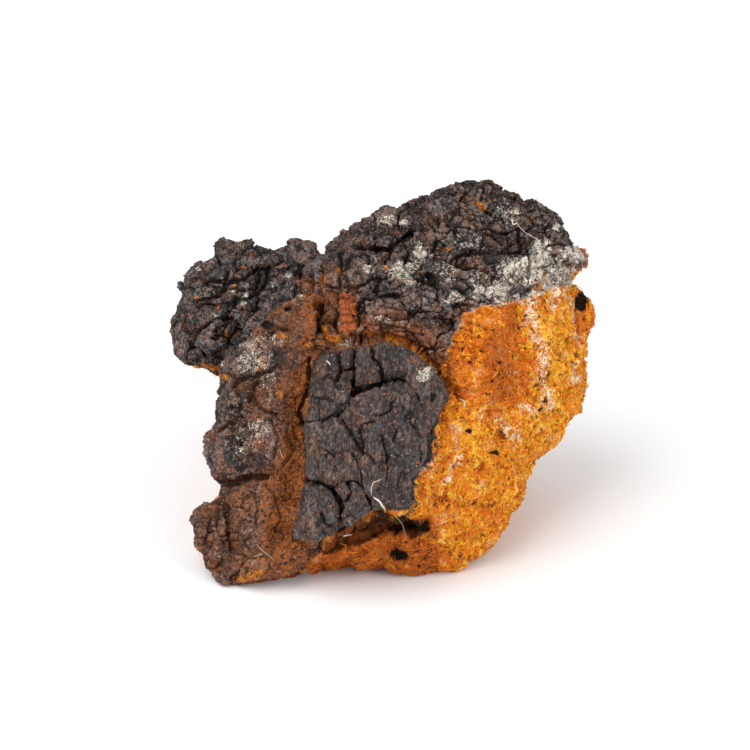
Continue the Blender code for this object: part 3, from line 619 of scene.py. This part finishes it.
def warmth(spot, valley, foot):
    """How brown each point of the crust is: most in the furrows and beside the torn flesh."""
    above_arch = spot.facing * ramp(13.0, 3.0, spot.arch) * spot.off_plate
    above_arch *= ramp(-24.0, -16.0, spot.across)
    warm = 0.18 + 0.55 * above_arch + spot.flank * (0.08 + 0.42 * ramp(-44.0, -24.0, spot.across))
    warm += 0.25 * foot + 0.35 * spot.toe
    warm = np.maximum(warm * (1.0 - spot.lobe), spot.facing * ramp(5.5, 1.5, valley) * spot.off_plate)
    warm = np.maximum(warm, spot.facing * ramp(2.2, 0.8, spot.arch)) * spot.off_plate
    warm += 0.2 * spot.on_plate
    warm += 0.35 * (1.0 - spot.facing) * ramp(-9.0, 0.0, spot.flesh)
    return np.clip(warm + (0.2 + 0.3 * spot.flank) * spot.coarse, 0.0, 1.0)


def goldenness(spot):
    """How golden the flesh is: most at the right and low down, and hardly at all on the knob."""
    on_knob = spot.visible * ramp(-0.3, 0.3, depth_inside(spot.thin, KNOB))
    stray_across, stray_up = (spot.flat + 5.0 * drift(spot.grown, 9.0, 52, 53)).T
    golden = 0.45 + 0.4 * hills(spot.grown, 11.0, 37) - 0.5 * on_knob
    golden += spot.facing * (
        0.35 * ramp(38.0, 48.0, spot.across) + 0.2 * ramp(-4.0, -14.0, spot.up)
        - 0.35 * ramp(49.0, 35.0, stray_across) * ramp(-16.0, 2.0, stray_up)
        - 1.3 * ramp(22.0, 12.0, spot.across) * ramp(-38.0, -43.0, spot.up))
    return np.clip(golden, 0.0, 1.0)


def mouldiness(spot):
    """How mouldy each point is: in drawn blotches in front, and in patches of the crust behind."""
    in_front = np.maximum(blotches(spot.loose, MOULD), 0.42 * blotches(spot.loose, FROST))
    behind = 0.6 * (1.0 - spot.facing) * ramp(0.25, 0.5, hills(spot.grown, 10.0, 61))
    return in_front * spot.facing + behind * ramp(1.0, -1.0, spot.flesh)


def attributes(spot, crack, pit, hollow, shade):
    """What the material is told about each point: how deep it lies in the flesh, in millimetres, and
    numbers from 0 to 1."""
    foot = spot.flank * ramp(-24.0, -32.0, spot.up)
    valley = spot.valley / (1.0 + 0.9 * ramp(-6.0, -30.0, spot.up))     # its rust is wider lower down
    # The painted shade in the hollow is deepest just under the plate's edge and at the hollow's right
    # end
    shade_under_plate = np.maximum(ramp(5.5, 2.5, -spot.within), ramp(9.0, 12.0, spot.across))
    embers = np.maximum.reduce([
        ramp(4.6, 1.0, valley) * ramp(12.0, -4.0, spot.up),
        (0.3 + 0.5 * ramp(-2.0, 6.0, spot.across)) * ramp(3.2, 1.0, spot.arch),
        strokes(spot.loose, SLOT_WALL),
        0.7 * foot * ramp(-38.0, -26.0, spot.across)])
    return {
        "flesh": spot.flesh * spot.off_plate - 3.0 * spot.on_plate,
        # how open the cracks are; the crust's colour paints shade into them
        "crack": crack,
        # how far each point lies in a pit, pore or hole; the material paints shade there
        "pit": pit,
        "hollow": hollow * (0.6 + 0.4 * ramp(-8.0, 2.0, spot.across) * shade_under_plate),
        "warm": warmth(spot, valley, foot),
        "plate": spot.on_plate,
        # painted light and shade from the relief, with each chip's own tone
        "shade": shade,
        "mould": mouldiness(spot),
        "streak": strokes(spot.loose, STREAKS) * spot.facing,
        "rust": strokes(spot.thin, RUSTED) * spot.facing * spot.off_plate,
        "red": spot.facing * ramp(-0.2, 0.2, depth_inside(spot.thin, RED_BLOCK)),
        "ember": spot.facing * spot.off_plate * embers,
        "gold": goldenness(spot),
    }


def sculpt(mesh):
    """The skin's points moved into cracks, blocks and torn flesh, and what each point is made of, with
    the light and shade painted on it.
    """
    points = vertex_array(mesh) / MM
    normals = vertex_array(mesh, normals=True)
    spot = survey(points, normals)
    swell, crack = drawn_lines(spot)
    sunk, pit = drawn_holes(spot)
    shade = add_relief(spot, swell, crack, pit)
    # The hollow under the plate is sunk back, and the material paints shade into it
    hollow = spot.visible * ramp(-0.2, 0.8, depth_inside(spot.thin, HOLLOW)) * spot.off_plate
    moved = points + normals * (swell + SKIN_SWELL)[:, None]
    moved -= np.outer(hollow * HOLLOW_DEPTH + sunk, TO_EYE)
    return settled(moved), attributes(spot, crack, pit, hollow, shade)


def settled(corners):
    """The corners in metres, with none below the floor."""
    corners = corners.copy()
    corners[:, 2] = np.maximum(corners[:, 2], FOOT_CLEARANCE)
    return corners * MM


def patches(points, normals, faces, count, choice):
    """Places spread over the faces at random, with the surface's normals and the faces there."""
    picked = faces[choice.integers(0, len(faces), count)]
    shares = choice.dirichlet(np.ones(4), count)
    place = np.einsum("ij,ijk->ik", shares, points[picked])
    normal = np.einsum("ij,ijk->ik", shares, normals[picked])
    return place, unit(normal), picked


def sideways(normals, choice):
    """A random direction along the surface for each normal."""
    way = choice.normal(size=normals.shape)
    way -= dots(way, normals)[:, None] * normals
    return unit(way)


def tube_faces(rings, sides):
    """The faces between one ring of corners and the next, along a tube."""
    return [(ring * sides + k, ring * sides + (k + 1) % sides,
             (ring + 1) * sides + (k + 1) % sides, (ring + 1) * sides + k)
            for ring in range(rings - 1) for k in range(sides)]


def repeated(faces, corners, count):
    """The faces of one bit, which has this many corners, for each of the bits."""
    return (np.arange(count)[:, None, None] * corners + np.array(faces)).reshape(-1, 4)


def strands(places, normals, lengths, widths, lift, choice):
    """A short bent three-sided fibre from each place, in millimetres, and their faces."""
    along = unit(sideways(normals, choice) + normals * lift)
    curl = choice.normal(scale=0.28, size=places.shape) * lengths[:, None]
    curl -= 0.7 * dots(curl, normals)[:, None] * normals
    side = unit(np.cross(along, normals))
    top = np.cross(side, along)
    corners = []
    for share, girth in ((-0.15, 1.0), (0.5, 0.8), (1.0, 0.25)):
        middle = places + along * (lengths * share)[:, None] + curl * share * (1.0 - share) * 2.0
        for turn in (0.0, 2.1, 4.2):
            spoke = side * math.cos(turn) + top * math.sin(turn)
            corners.append(middle + spoke * (widths * girth / 2)[:, None])
    faces = repeated(tube_faces(3, 3), len(corners), len(places))
    return np.stack(corners, axis=1).reshape(-1, 3), faces


def crumbs(places, normals, sizes, choice):
    """A small uneven block on each place, in millimetres, and their faces."""
    count = len(places)
    along = sideways(normals, choice)
    signs = np.array([(x, y, z) for z in (-1, 1) for y in (-1, 1) for x in (-1, 1)], float)
    box = signs[None] * choice.uniform(0.45, 1.25, size=(count, 8, 3)) * sizes[:, None, None] / 2
    box *= choice.uniform(0.55, 1.3, size=(count, 1, 3))
    axes = np.stack([along, np.cross(normals, along), normals], axis=1)
    corners = (places[:, None] + np.einsum("ijk,ikl->ijl", box, axes)).reshape(-1, 3)
    sides = [(0, 2, 3, 1), (4, 5, 7, 6), (0, 1, 5, 4), (2, 6, 7, 3), (0, 4, 6, 2), (1, 3, 7, 5)]
    return corners, repeated(sides, len(signs), count)


def laid_tube(seen, radius, lift, line):
    """A thin six-sided tube lying on the surface along a line of the picture, and its faces."""
    line = np.array(line, float)
    runs = np.linspace(0.0, len(line) - 1.0, 6 * (len(line) - 1) + 1)
    flat = np.column_stack([np.interp(runs, range(len(line)), line[:, k]) for k in range(2)])
    flat += 0.25 * np.column_stack([np.sin(runs * 3.1 + line[0, 0]), np.cos(runs * 2.3 + line[0, 1])])
    towards = np.array([seen[np.hypot(*(seen[:, :2] - spot).T) < 0.6, 2].max() for spot in flat])
    towards = np.convolve(np.pad(towards, 2, mode="edge"), np.ones(5) / 5, mode="valid")
    share = runs / runs[-1]
    towards = towards + radius * 0.6 + lift * np.sin(share * math.pi)
    middle = from_seen(np.column_stack([flat, towards]))
    along = np.gradient(middle, axis=0)
    side = unit(np.cross(along, TO_EYE))
    top = unit(np.cross(side, along))
    girth = radius * np.clip(np.minimum(share, 1.0 - share) * 8.0, 0.25, 1.0)[:, None]
    spokes = [side * math.cos(turn) + top * math.sin(turn) for turn in np.arange(6) * math.pi / 3]
    corners = np.stack([middle + spoke * girth for spoke in spokes], axis=1).reshape(-1, 3)
    return corners, np.array(tube_faces(len(runs), len(spokes)))


def piece(name, points, faces, made_of):
    """A mesh object of the faces given, with the attributes of their points."""
    used, corners = np.unique(faces, return_inverse=True)
    mesh = bpy.data.meshes.new(name)
    mesh.vertices.add(len(used))
    mesh.vertices.foreach_set("co", points[used].astype(np.float32).ravel())
    mesh.loops.add(faces.size)
    mesh.loops.foreach_set("vertex_index", corners.ravel().astype(np.int32))
    mesh.polygons.add(len(faces))
    starts = np.arange(len(faces), dtype=np.int32) * faces.shape[1]
    mesh.polygons.foreach_set("loop_start", starts)
    mesh.update(calc_edges=True)
    mesh.shade_smooth()
    for label, values in made_of.items():
        layer = mesh.attributes.new(label, "FLOAT", "POINT")
        layer.data.foreach_set("value", values[used].astype(np.float32))
    made = bpy.data.objects.new(name, mesh)
    bpy.context.scene.collection.objects.link(made)
    return made


def add_piece(name, points, faces, made_of, material):
    """A piece of the lump's visual, which stands in for the CAD node and rides on its body."""
    part = piece(name, points, faces, made_of)
    part.data.materials.append(material)
    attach(part, "root")
    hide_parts("chaga")
    print(name, len(part.data.polygons) * 2, "triangles")


class Wire:
    """An output of a material's node, which can be used in sums like a number."""

    def __init__(self, tree, socket):
        self.tree = tree
        self.socket = socket

    def node(self, kind, settings=None, inputs=None):
        """The first output of a new node with these settings and inputs, which are numbers, colours
        or wires."""
        made = self.tree.nodes.new(kind)
        for key, value in (settings or {}).items():
            setattr(made, key, value)
        for key, value in (inputs or {}).items():
            if isinstance(value, Wire):
                self.tree.links.new(value.socket, made.inputs[key])
            else:
                made.inputs[key].default_value = value
        return Wire(self.tree, made.outputs[0])

    def out(self, key):
        """Another output of the same node."""
        return Wire(self.tree, self.socket.node.outputs[key])

    def sum(self, operation, *terms):
        return self.node("ShaderNodeMath", {"operation": operation}, dict(enumerate(terms)))

    def vectors(self, operation, *terms):
        return self.node("ShaderNodeVectorMath", {"operation": operation}, dict(enumerate(terms)))

    def __add__(self, other):
        return self.sum("ADD", self, other)

    def __radd__(self, other):
        return self.sum("ADD", other, self)

    def __sub__(self, other):
        return self.sum("SUBTRACT", self, other)

    def __rsub__(self, other):
        return self.sum("SUBTRACT", other, self)

    def __mul__(self, other):
        return self.sum("MULTIPLY", self, other)

    def __rmul__(self, other):
        return self.sum("MULTIPLY", other, self)

    def swing(self, amount):
        """How far this is from a half, times the amount."""
        return (self - 0.5) * amount

    def ramp(self, low, high, start=0.0, end=1.0):
        """start below low, end above high, and smooth between. Low may be above high."""
        if low > high:
            low, high, start, end = high, low, end, start
        return self.node("ShaderNodeMapRange", {"interpolation_type": "SMOOTHSTEP"}, {
            0: self, 1: low, 2: high, 3: start, 4: end})

    def mix(self, first, second):
        """A colour part way from first to second, by this wire's value."""
        return self.node("ShaderNodeMix", {"data_type": "RGBA"}, {0: self, 6: first, 7: second}).out(2)

    def bump(self, strength, distance):
        """The surface's normal, bent as if this stood up that many times the distance."""
        return self.node("ShaderNodeBump", None, {
            "Strength": strength, "Distance": distance, "Height": self})

    def attribute(self, name):
        return self.node("ShaderNodeAttribute", {"attribute_name": name}).out("Fac")

    def places(self):
        """Where the surface is, in millimetres."""
        spot = self.node("ShaderNodeTexCoord").out("Object")
        return self.node("ShaderNodeVectorMath", {"operation": "SCALE"}, {0: spot, 3: 1.0 / MM})

    def grain(self, places, size, detail=2.0, roughness=0.55, bend=0.0):
        """Noise from 0 to 1 with features of the given size in millimetres."""
        return self.node("ShaderNodeTexNoise", None, {
            "Vector": places, "Scale": 1.0 / size, "Detail": detail, "Roughness": roughness,
            "Distortion": bend})

    def bent(self, places, size, amount):
        """The places, pushed about by noise of the given size and amount in millimetres."""
        push = self.node("ShaderNodeTexNoise", None, {"Vector": places, "Scale": 1.0 / size})
        return self.vectors("MULTIPLY_ADD", push.out("Color"), (amount,) * 3, places)

    def specks(self, places, size, reach, share):
        """1 on scattered round specks as wide as reach. The greater the share, the more there are."""
        cell = self.node("ShaderNodeTexVoronoi", None, {"Vector": places, "Scale": 1.0 / size})
        chosen = self.sum("LESS_THAN", cell.out("Color"), share)
        return cell.out("Distance").ramp(reach / size, reach / size * 0.6) * chosen

    def facets(self, places, size):
        """Cells that each lean their own way: how high the surface stands in them and how far it
        is to the nearest wall, both in millimetres."""
        inputs = {"Vector": places, "Scale": 1.0 / size}
        cell = self.node("ShaderNodeTexVoronoi", None, inputs)
        walls = self.node("ShaderNodeTexVoronoi", {"feature": "DISTANCE_TO_EDGE"}, inputs)
        offset = self.vectors("SUBTRACT", places, cell.out("Position"))
        way = self.vectors("SUBTRACT", cell.out("Color"), (0.5, 0.5, 0.5))
        return self.vectors("DOT_PRODUCT", offset, way).out("Value"), walls.out("Distance") * size


def node_material(name):
    """A new material, its shader, and a wire with which its nodes are made."""
    material = bpy.data.materials.new(name)
    material.use_nodes = True
    tree = material.node_tree
    return material, tree.nodes["Principled BSDF"], Wire(tree, None)


def join_up(shader, colour, rough, bump, gloss):
    """Gives the shader its colour, roughness and bump, which are wires, and how glossy it is."""
    for key, wire in (("Base Color", colour), ("Roughness", rough), ("Normal", bump)):
        wire.tree.links.new(wire.socket, shader.inputs[key])
    shader.inputs["Specular IOR Level"].default_value = gloss


def layered(colour, layers):
    """The colour with layers over it, each given as how much it covers and its own colour."""
    for cover, hue in layers:
        colour = cover.mix(colour, hue)
    return colour


def skin_wires(start, labels):
    """The surface's attributes, the noises that its colours share, and its finest cracks and
    leaning grains."""
    skin = SimpleNamespace(**{label: start.attribute(label) for label in labels})
    at = start.places()
    skin.at = at
    skin.broad = start.grain(at, 6.0, 3.0)
    skin.mottle = start.grain(at, 1.6, 4.0, 0.65)
    skin.fleck = start.grain(at, 0.5, 3.0, 0.7)
    skin.weave = start.grain(at, 0.9, 5.0, 0.75, 1.4)
    skin.lace = start.grain(at, 0.65, 3.0, 0.6, 1.6)

    # Grains and cracks are drawn out along the plate's upright grain
    squeeze = 1.0 - skin.plate * 0.55
    drawn_out = start.node("ShaderNodeCombineXYZ", None, {0: 1.0, 1: squeeze, 2: squeeze})
    stretched = start.bent(start.vectors("MULTIPLY", at, drawn_out), 1.5, 1.2)
    skin.grit, grit_wall = start.facets(stretched, 1.9)
    skin.sand, _ = start.facets(stretched, 0.75)
    skin.hairline = grit_wall.ramp(0.11, 0.03) * start.grain(at, 3.0, 2.0).ramp(0.46, 0.60)
    skin.block, block_wall = start.facets(start.bent(stretched, 4.0, 2.0), 4.6)
    seam = block_wall.ramp(0.24, 0.08) * start.grain(at, 5.0, 2.0).ramp(0.42, 0.54)
    skin.seam = seam * (1.0 - skin.plate * 0.7) * skin.warm.ramp(0.5, 0.3)
    tall = start.vectors("MULTIPLY", start.bent(at, 3.0, 1.0), (1.0, 1.0, 0.16))
    skin.fine = skin.fleck + (start.grain(tall, 0.55, 3.0) - skin.fleck) * skin.plate * 0.6
    # Where cracks are, the finest included; the crust's colour paints shade into them and rust into
    # some
    split = (skin.hairline * 0.8 + skin.seam * 0.9) * (1.0 - skin.flesh.ramp(-0.3, 0.3))
    skin.cracked = (skin.crack + skin.fleck.swing(0.4) + split).ramp(0.35, 0.75)
    return skin


def crust_colour(start, skin):
    """Slate to warm brown and rusty in some cracks, with pale flecks and painted highlights on its
    highest grains, and painted shade in its low grains, cracks and pits.
    """
    tint = (skin.warm + skin.broad.swing(1.1) + skin.mottle.swing(0.5)).ramp(0.1, 0.95)
    cool = (start.grain(skin.at, 4.0, 3.0) + skin.shade.swing(0.15)).ramp(0.42, 0.58)
    grainy = skin.fleck.ramp(0.3, 0.7)
    slate = skin.warm.ramp(0.16, 0.0).mix(*HUES.slate)
    body = tint.mix(cool.mix(slate, HUES.brown), HUES.red_brown)
    body = skin.plate.mix(body, cool.mix(*HUES.plate))
    cloudy = skin.mottle * (1.0 - skin.plate * 0.6) + skin.plate * 0.3
    # Painted light and shade from the relief and the facets, mixed with the crust's own mottling
    lit = skin.shade * 0.5 + cloudy * 0.35 + skin.fine * 0.45 + skin.sand * 0.5 + skin.broad.swing(0.5)
    # Pale flecks, and painted highlights on the highest grains and facets
    flecks_and_highlights = skin.fine * 0.9 + skin.shade * 0.3 + cloudy * 0.2 + skin.grit * 0.3
    tall = start.vectors("MULTIPLY", skin.at, (1.0, 1.0, 0.22))
    streaky = (start.grain(tall, 1.1, 3.0, 0.65) + skin.mottle.swing(0.5)).ramp(0.36, 0.58)
    rusty = start.grain(skin.at, 1.1, 3.0, 0.65).ramp(0.60, 0.66)
    rusty = rusty * start.grain(skin.at, 5.0, 3.0).ramp(0.50, 0.60)
    rusty_specks = start.specks(start.bent(skin.at, 0.8, 0.9), 2.0, 0.50, 0.42)
    # The base is darkened by painted shade in low grains, along with the crust's own darker patches
    return layered(lit.ramp(0.50, 0.76).mix(tint.mix(*HUES.crust_dark_and_shade), body), [
        # Painted highlights and pale flecks on the highest grains
        (flecks_and_highlights.ramp(0.74, 0.98, 0.0, 0.9) * (1.0 - skin.plate * 0.5), tint.mix(*HUES.crust_flecks_and_highlights)),
        (skin.warm.ramp(0.3, 0.9) * skin.mottle.ramp(0.42, 0.60) * 0.6, grainy.mix(*HUES.warmth)),
        (skin.ember * streaky, grainy.mix(*HUES.ember)),
        # Painted shade in the cracks
        (skin.cracked * 0.9, skin.warm.ramp(0.15, 0.6).mix(*HUES.crack)),
        (skin.cracked * skin.broad.ramp(0.56, 0.66) * (1.0 - skin.plate) * 0.5, HUES.rusty_crack),
        (rusty * 0.9, grainy.mix(*HUES.rusty_crust)),
        (start.specks(skin.at, 1.5, 0.22, 0.38) * 0.8, HUES.pale_speck),
        (rusty_specks * skin.broad.ramp(0.50, 0.58) * 0.9, HUES.rusty_speck),
        (skin.red * skin.mottle.ramp(0.36, 0.46), grainy.mix(*HUES.brick)),
        # Painted shade in pits and holes
        (skin.pit * 0.94, HUES.crust_pit_shade),
    ])


def flesh_colour(start, skin):
    """Orange-brown cork with golden tufts and pale lace, painted shade in its folds and pores, and
    painted light on its ridges.
    """
    tuft = start.grain(start.bent(skin.at, 2.0, 1.4), 2.6, 4.0, 0.6, 0.8)
    clot = start.grain(start.bent(skin.at, 1.6, 1.2), 2.1, 4.0, 0.65, 0.5)
    thread = start.grain(start.bent(skin.at, 1.5, 1.2), 1.9, 1.0) - 0.5
    other = start.grain(start.bent(skin.at, 2.2, 1.8), 1.2, 1.0) - 0.5
    wisp = start.sum("MINIMUM", thread * thread, other * other).ramp(0.0042, 0.0012)
    ripe = (skin.broad * 0.9 + clot * 0.5 + skin.gold * 0.25).ramp(0.60, 0.98)
    # The flesh's own mottling, with painted light and shade from its relief and facets
    lit = skin.weave * 0.6 + clot.swing(0.7) + skin.fleck.swing(0.7)
    lit = (lit + skin.shade.swing(0.6) + skin.sand * 0.25).ramp(0.08, 0.38)
    tufted = (tuft + skin.gold * 0.14 + skin.fleck.swing(0.15)).ramp(0.58, 0.68)
    golden = tuft + skin.gold * 0.16
    cream = skin.streak * clot.ramp(0.36, 0.50) + (skin.broad * 0.5 + clot * 0.5).ramp(0.53, 0.61) * 0.4
    laced = skin.lace * 0.5 + wisp * 0.25 + tuft * 0.3 + skin.fleck.swing(0.5)
    clotted = clot * 0.7 + skin.fleck * 0.4 + skin.broad.swing(0.3)
    umber = (skin.fleck + (clot - 0.5)).ramp(0.3, 0.7).mix(*HUES.umber)
    return layered(lit.mix(ripe.mix(*HUES.flesh_dark_and_shade), ripe.mix(*HUES.flesh_bright_and_lit)), [
        (tufted * 0.5, HUES.tuft),
        (wisp * golden.ramp(0.52, 0.64) * 0.85, HUES.wisp),
        (wisp * (golden + skin.fleck.swing(0.3)).ramp(0.62, 0.68), HUES.bright_wisp),
        (cream * laced.ramp(0.44, 0.54), HUES.cream),
        (clotted.ramp(0.49, 0.43), HUES.clot),
        (skin.gold.ramp(0.30, 0.0) * clot.ramp(0.36, 0.56) * 0.85, umber),
        # Painted shade in pores and holes, with scattered dark flecks
        ((skin.pit + skin.fleck.swing(0.6)).ramp(0.05, 0.85), HUES.flesh_pit_shade_and_flecks),
    ])


def surface_material(labels):
    """Crust and flesh in one material, told apart by the surface's own attributes."""
    material, shader, start = node_material("chaga_crust_and_flesh")
    skin = skin_wires(start, labels)
    edge = skin.flesh + skin.mottle.swing(1.6)
    bare = edge.ramp(-0.2, 0.25)
    lip = edge.ramp(-0.9, -0.3) * edge.ramp(0.5, 0.1) * skin.broad.ramp(0.45, 0.6)
    lip = lip * skin.fleck.ramp(0.35, 0.6) * skin.gold.ramp(0.05, 0.25)
    mould = skin.mould * 0.85 + skin.lace.swing(2.8) + skin.mottle.swing(2.2)
    mould = (mould + skin.fleck.swing(0.8) + skin.shade.swing(0.5)).ramp(0.38, 0.78)
    mould = mould * skin.mould.ramp(0.0, 0.4) * (1.0 - skin.cracked * 0.6)
    colour = layered(bare.mix(crust_colour(start, skin), flesh_colour(start, skin)), [
        (lip * 0.7, HUES.lip),
        # Painted shade in the hollow under the plate
        (skin.hollow * (0.72 + skin.fleck * 0.4), HUES.hollow),
        (skin.rust * skin.mottle.ramp(0.34, 0.50), skin.fleck.ramp(0.38, 0.66).mix(*HUES.rust)),
        (mould * 0.92, skin.fleck.ramp(0.32, 0.64).mix(*HUES.mould)),
    ])
    height = (skin.grit * 0.45 + skin.sand * 0.7 - skin.hairline * 0.12) * (1.0 - mould * 0.6)
    height = height + (skin.block * 0.3 - skin.seam * 0.5) * (1.0 - bare)
    height = height + skin.mottle * 0.2 + skin.fleck * 0.24 + skin.lace * skin.mould * 0.35
    height = height + bare * skin.weave * 0.35
    rough = bare.ramp(0.0, 1.0, 0.66, 0.88) + skin.mottle.swing(0.25) + mould * 0.2
    join_up(shader, colour, rough, height.bump(1.0, MM), 0.25)
    return material


def bits_material(name, first, second, third):
    """Loose bits whose own shade picks between three colours, with a little mottling."""
    material, shader, start = node_material(name)
    mottle = start.grain(start.places(), 0.5, 3.0, 0.7)
    pick = start.attribute("shade") + mottle.swing(0.5)
    colour = pick.ramp(0.55, 0.85).mix(pick.ramp(0.15, 0.5).mix(first, second), third)
    join_up(shader, colour, mottle.ramp(0.2, 0.8, 0.65, 0.95), mottle.bump(0.5, 0.1 * MM), 0.2)
    return material


def add_bits(points, normals, faces, made_of):
    """Fibres and crumbs on the flesh, crumbs on the crust and fuzz on the mould."""
    choice = np.random.default_rng(BITS_SEED)
    points = points / MM
    flesh = made_of["flesh"][faces].mean(axis=1)
    level = (made_of["hollow"] + made_of["pit"])[faces].mean(axis=1) < 0.1
    on_crust = faces[(flesh < -0.4) & level]
    on_flesh = faces[(flesh > 0.4) & level]
    mouldy = faces[made_of["mould"][faces].mean(axis=1) > choice.uniform(0.3, 0.95, len(faces))]
    fibre = bits_material("torn_fibres", *HUES.fibres)
    dust = bits_material("crust_crumbs", *HUES.dust)
    fuzz = bits_material("mould_fuzz", *HUES.fuzz)

    def add(name, corners, sides, shade, material):
        shade = np.repeat(shade, len(corners) // len(shade))
        add_piece(name, settled(corners), sides, {"shade": shade}, material)

    for name, spots, kind, material in (
            ("flesh_fibres", on_flesh, FLESH_FIBRES, fibre),
            ("mould_threads", mouldy, MOULD_THREADS, fuzz)):
        place, normal, picked = patches(points, normals, spots, kind.count * 3, choice)
        # Those kept stand in tufts, mostly on the hills of a noise
        order = np.argsort(choice.uniform(0.0, 1.2, len(place)) - hills(place, 3.0, 51))
        kept = order[:kind.count]
        lengths = kind.length * choice.uniform(0.45, 1.3, kind.count)
        widths = kind.width * choice.uniform(0.6, 1.5, kind.count)
        corners, sides = strands(place[kept], normal[kept], lengths, widths, kind.lift, choice)
        bright = 0.4 + 0.6 * made_of["gold"][picked[kept]].mean(axis=1)
        add(name, corners, sides, choice.uniform(0.0, 1.0, kind.count) * bright, material)

    for name, spots, kind, material in (
            ("flesh_crumbs", on_flesh, FLESH_CRUMBS, fibre),
            ("crust_crumbs", on_crust, CRUST_CRUMBS, dust)):
        place, normal, picked = patches(points, normals, spots, kind.count, choice)
        sizes = kind.size * choice.uniform(0.5, 1.4, kind.count)
        corners, sides = crumbs(place, normal, sizes, choice)
        shade = choice.uniform(0.0, 1.0, kind.count) ** 1.5
        if spots is on_flesh:
            shade *= 0.3 + 0.5 * made_of["gold"][picked].mean(axis=1)
        add(name, corners, sides, shade, material)


def add_litter(points):
    """Chaff, straw and hairs on the front, each lying where the camera sees it."""
    seen = to_seen(points / MM)
    corners = []
    faces = []
    shades = []
    for radius, lift, shade, line in LITTER:
        spots, sides = laid_tube(seen, radius, lift, line)
        faces.append(sides + sum(len(part) for part in corners))
        corners.append(spots)
        shades.append(np.full(len(spots), shade))
    add_piece("straw_and_hairs", settled(np.vstack(corners)), np.vstack(faces),
              {"shade": np.concatenate(shades)}, bits_material("straw", *HUES.straw))


def floor_material():
    material, shader, _ = node_material("pale_floor")
    shader.inputs["Base Color"].default_value = HUES.floor
    shader.inputs["Roughness"].default_value = 0.7
    return material


def softbox(name, place, width, watts):
    """A square area light that faces the middle of the lump."""
    light = bpy.data.lights.new(name, "AREA")
    light.size = width
    light.energy = watts
    made = bpy.data.objects.new(name, light)
    made.location = place
    made.rotation_mode = "QUATERNION"
    aim = Vector(PICTURE_CENTRE * MM) - Vector(place)
    made.rotation_quaternion = aim.to_track_quat("-Z", "Y")
    bpy.context.scene.collection.objects.link(made)


def studio():
    """A plain pale floor, soft light from the upper left, and the camera."""
    scene = bpy.context.scene
    scene.view_settings.view_transform = "Standard"
    mesh = bpy.data.meshes.new("floor")
    corners = [(x * FLOOR_REACH, y * FLOOR_REACH, 0) for x, y in ((-1, -1), (1, -1), (1, 1), (-1, 1))]
    mesh.from_pydata(corners, [], [(0, 1, 2, 3)])
    mesh.materials.append(floor_material())
    floor = bpy.data.objects.new("floor", mesh)
    scene.collection.objects.link(floor)

    world = bpy.data.worlds.new("white_room")
    world.use_nodes = True
    backdrop = world.node_tree.nodes["Background"]
    backdrop.inputs["Color"].default_value = (1.0, 1.0, 1.0, 1.0)
    backdrop.inputs["Strength"].default_value = ROOM_LIGHT
    scene.world = world
    for name, place, width, watts in SOFTBOXES:
        softbox(name, place, width, watts)

    camera = bpy.data.cameras.new("camera")
    camera.sensor_width = SENSOR_WIDTH
    camera.lens = SENSOR_WIDTH * EYE_DISTANCE / VIEW_WIDTH
    made = bpy.data.objects.new("camera", camera)
    made.location = Vector((PICTURE_CENTRE + TO_EYE * EYE_DISTANCE) * MM)
    made.rotation_euler = (math.pi / 2 - SLOPE, 0.0, 0.0)
    scene.collection.objects.link(made)
    scene.camera = made


def build():
    """The sculpted skin, cut into pieces by what it is made of, and the bits that lie on it."""
    skin = even_skin("chaga")
    points, made_of = sculpt(skin)
    normals = vertex_array(skin, normals=True)
    faces = np.empty(len(skin.polygons) * 4, np.int32)
    skin.loops.foreach_get("vertex_index", faces)
    faces = faces.reshape(-1, 4)
    bpy.data.meshes.remove(skin)
    bare = made_of["flesh"][faces].mean(axis=1) > 0.0
    on_plate = made_of["plate"][faces].mean(axis=1) > 0.5
    nearness = points[faces].mean(axis=1) / MM @ TO_EYE
    material = surface_material(made_of)
    add_piece("plate", points, faces[on_plate & ~bare], made_of, material)
    for kind, chosen in (("crust", ~bare & ~on_plate), ("flesh", bare)):
        near_half = nearness > np.median(nearness[chosen])
        add_piece("front_" + kind, points, faces[chosen & near_half], made_of, material)
        add_piece("back_" + kind, points, faces[chosen & ~near_half], made_of, material)
    add_bits(points, normals, faces, made_of)
    add_litter(points)


build()
studio()
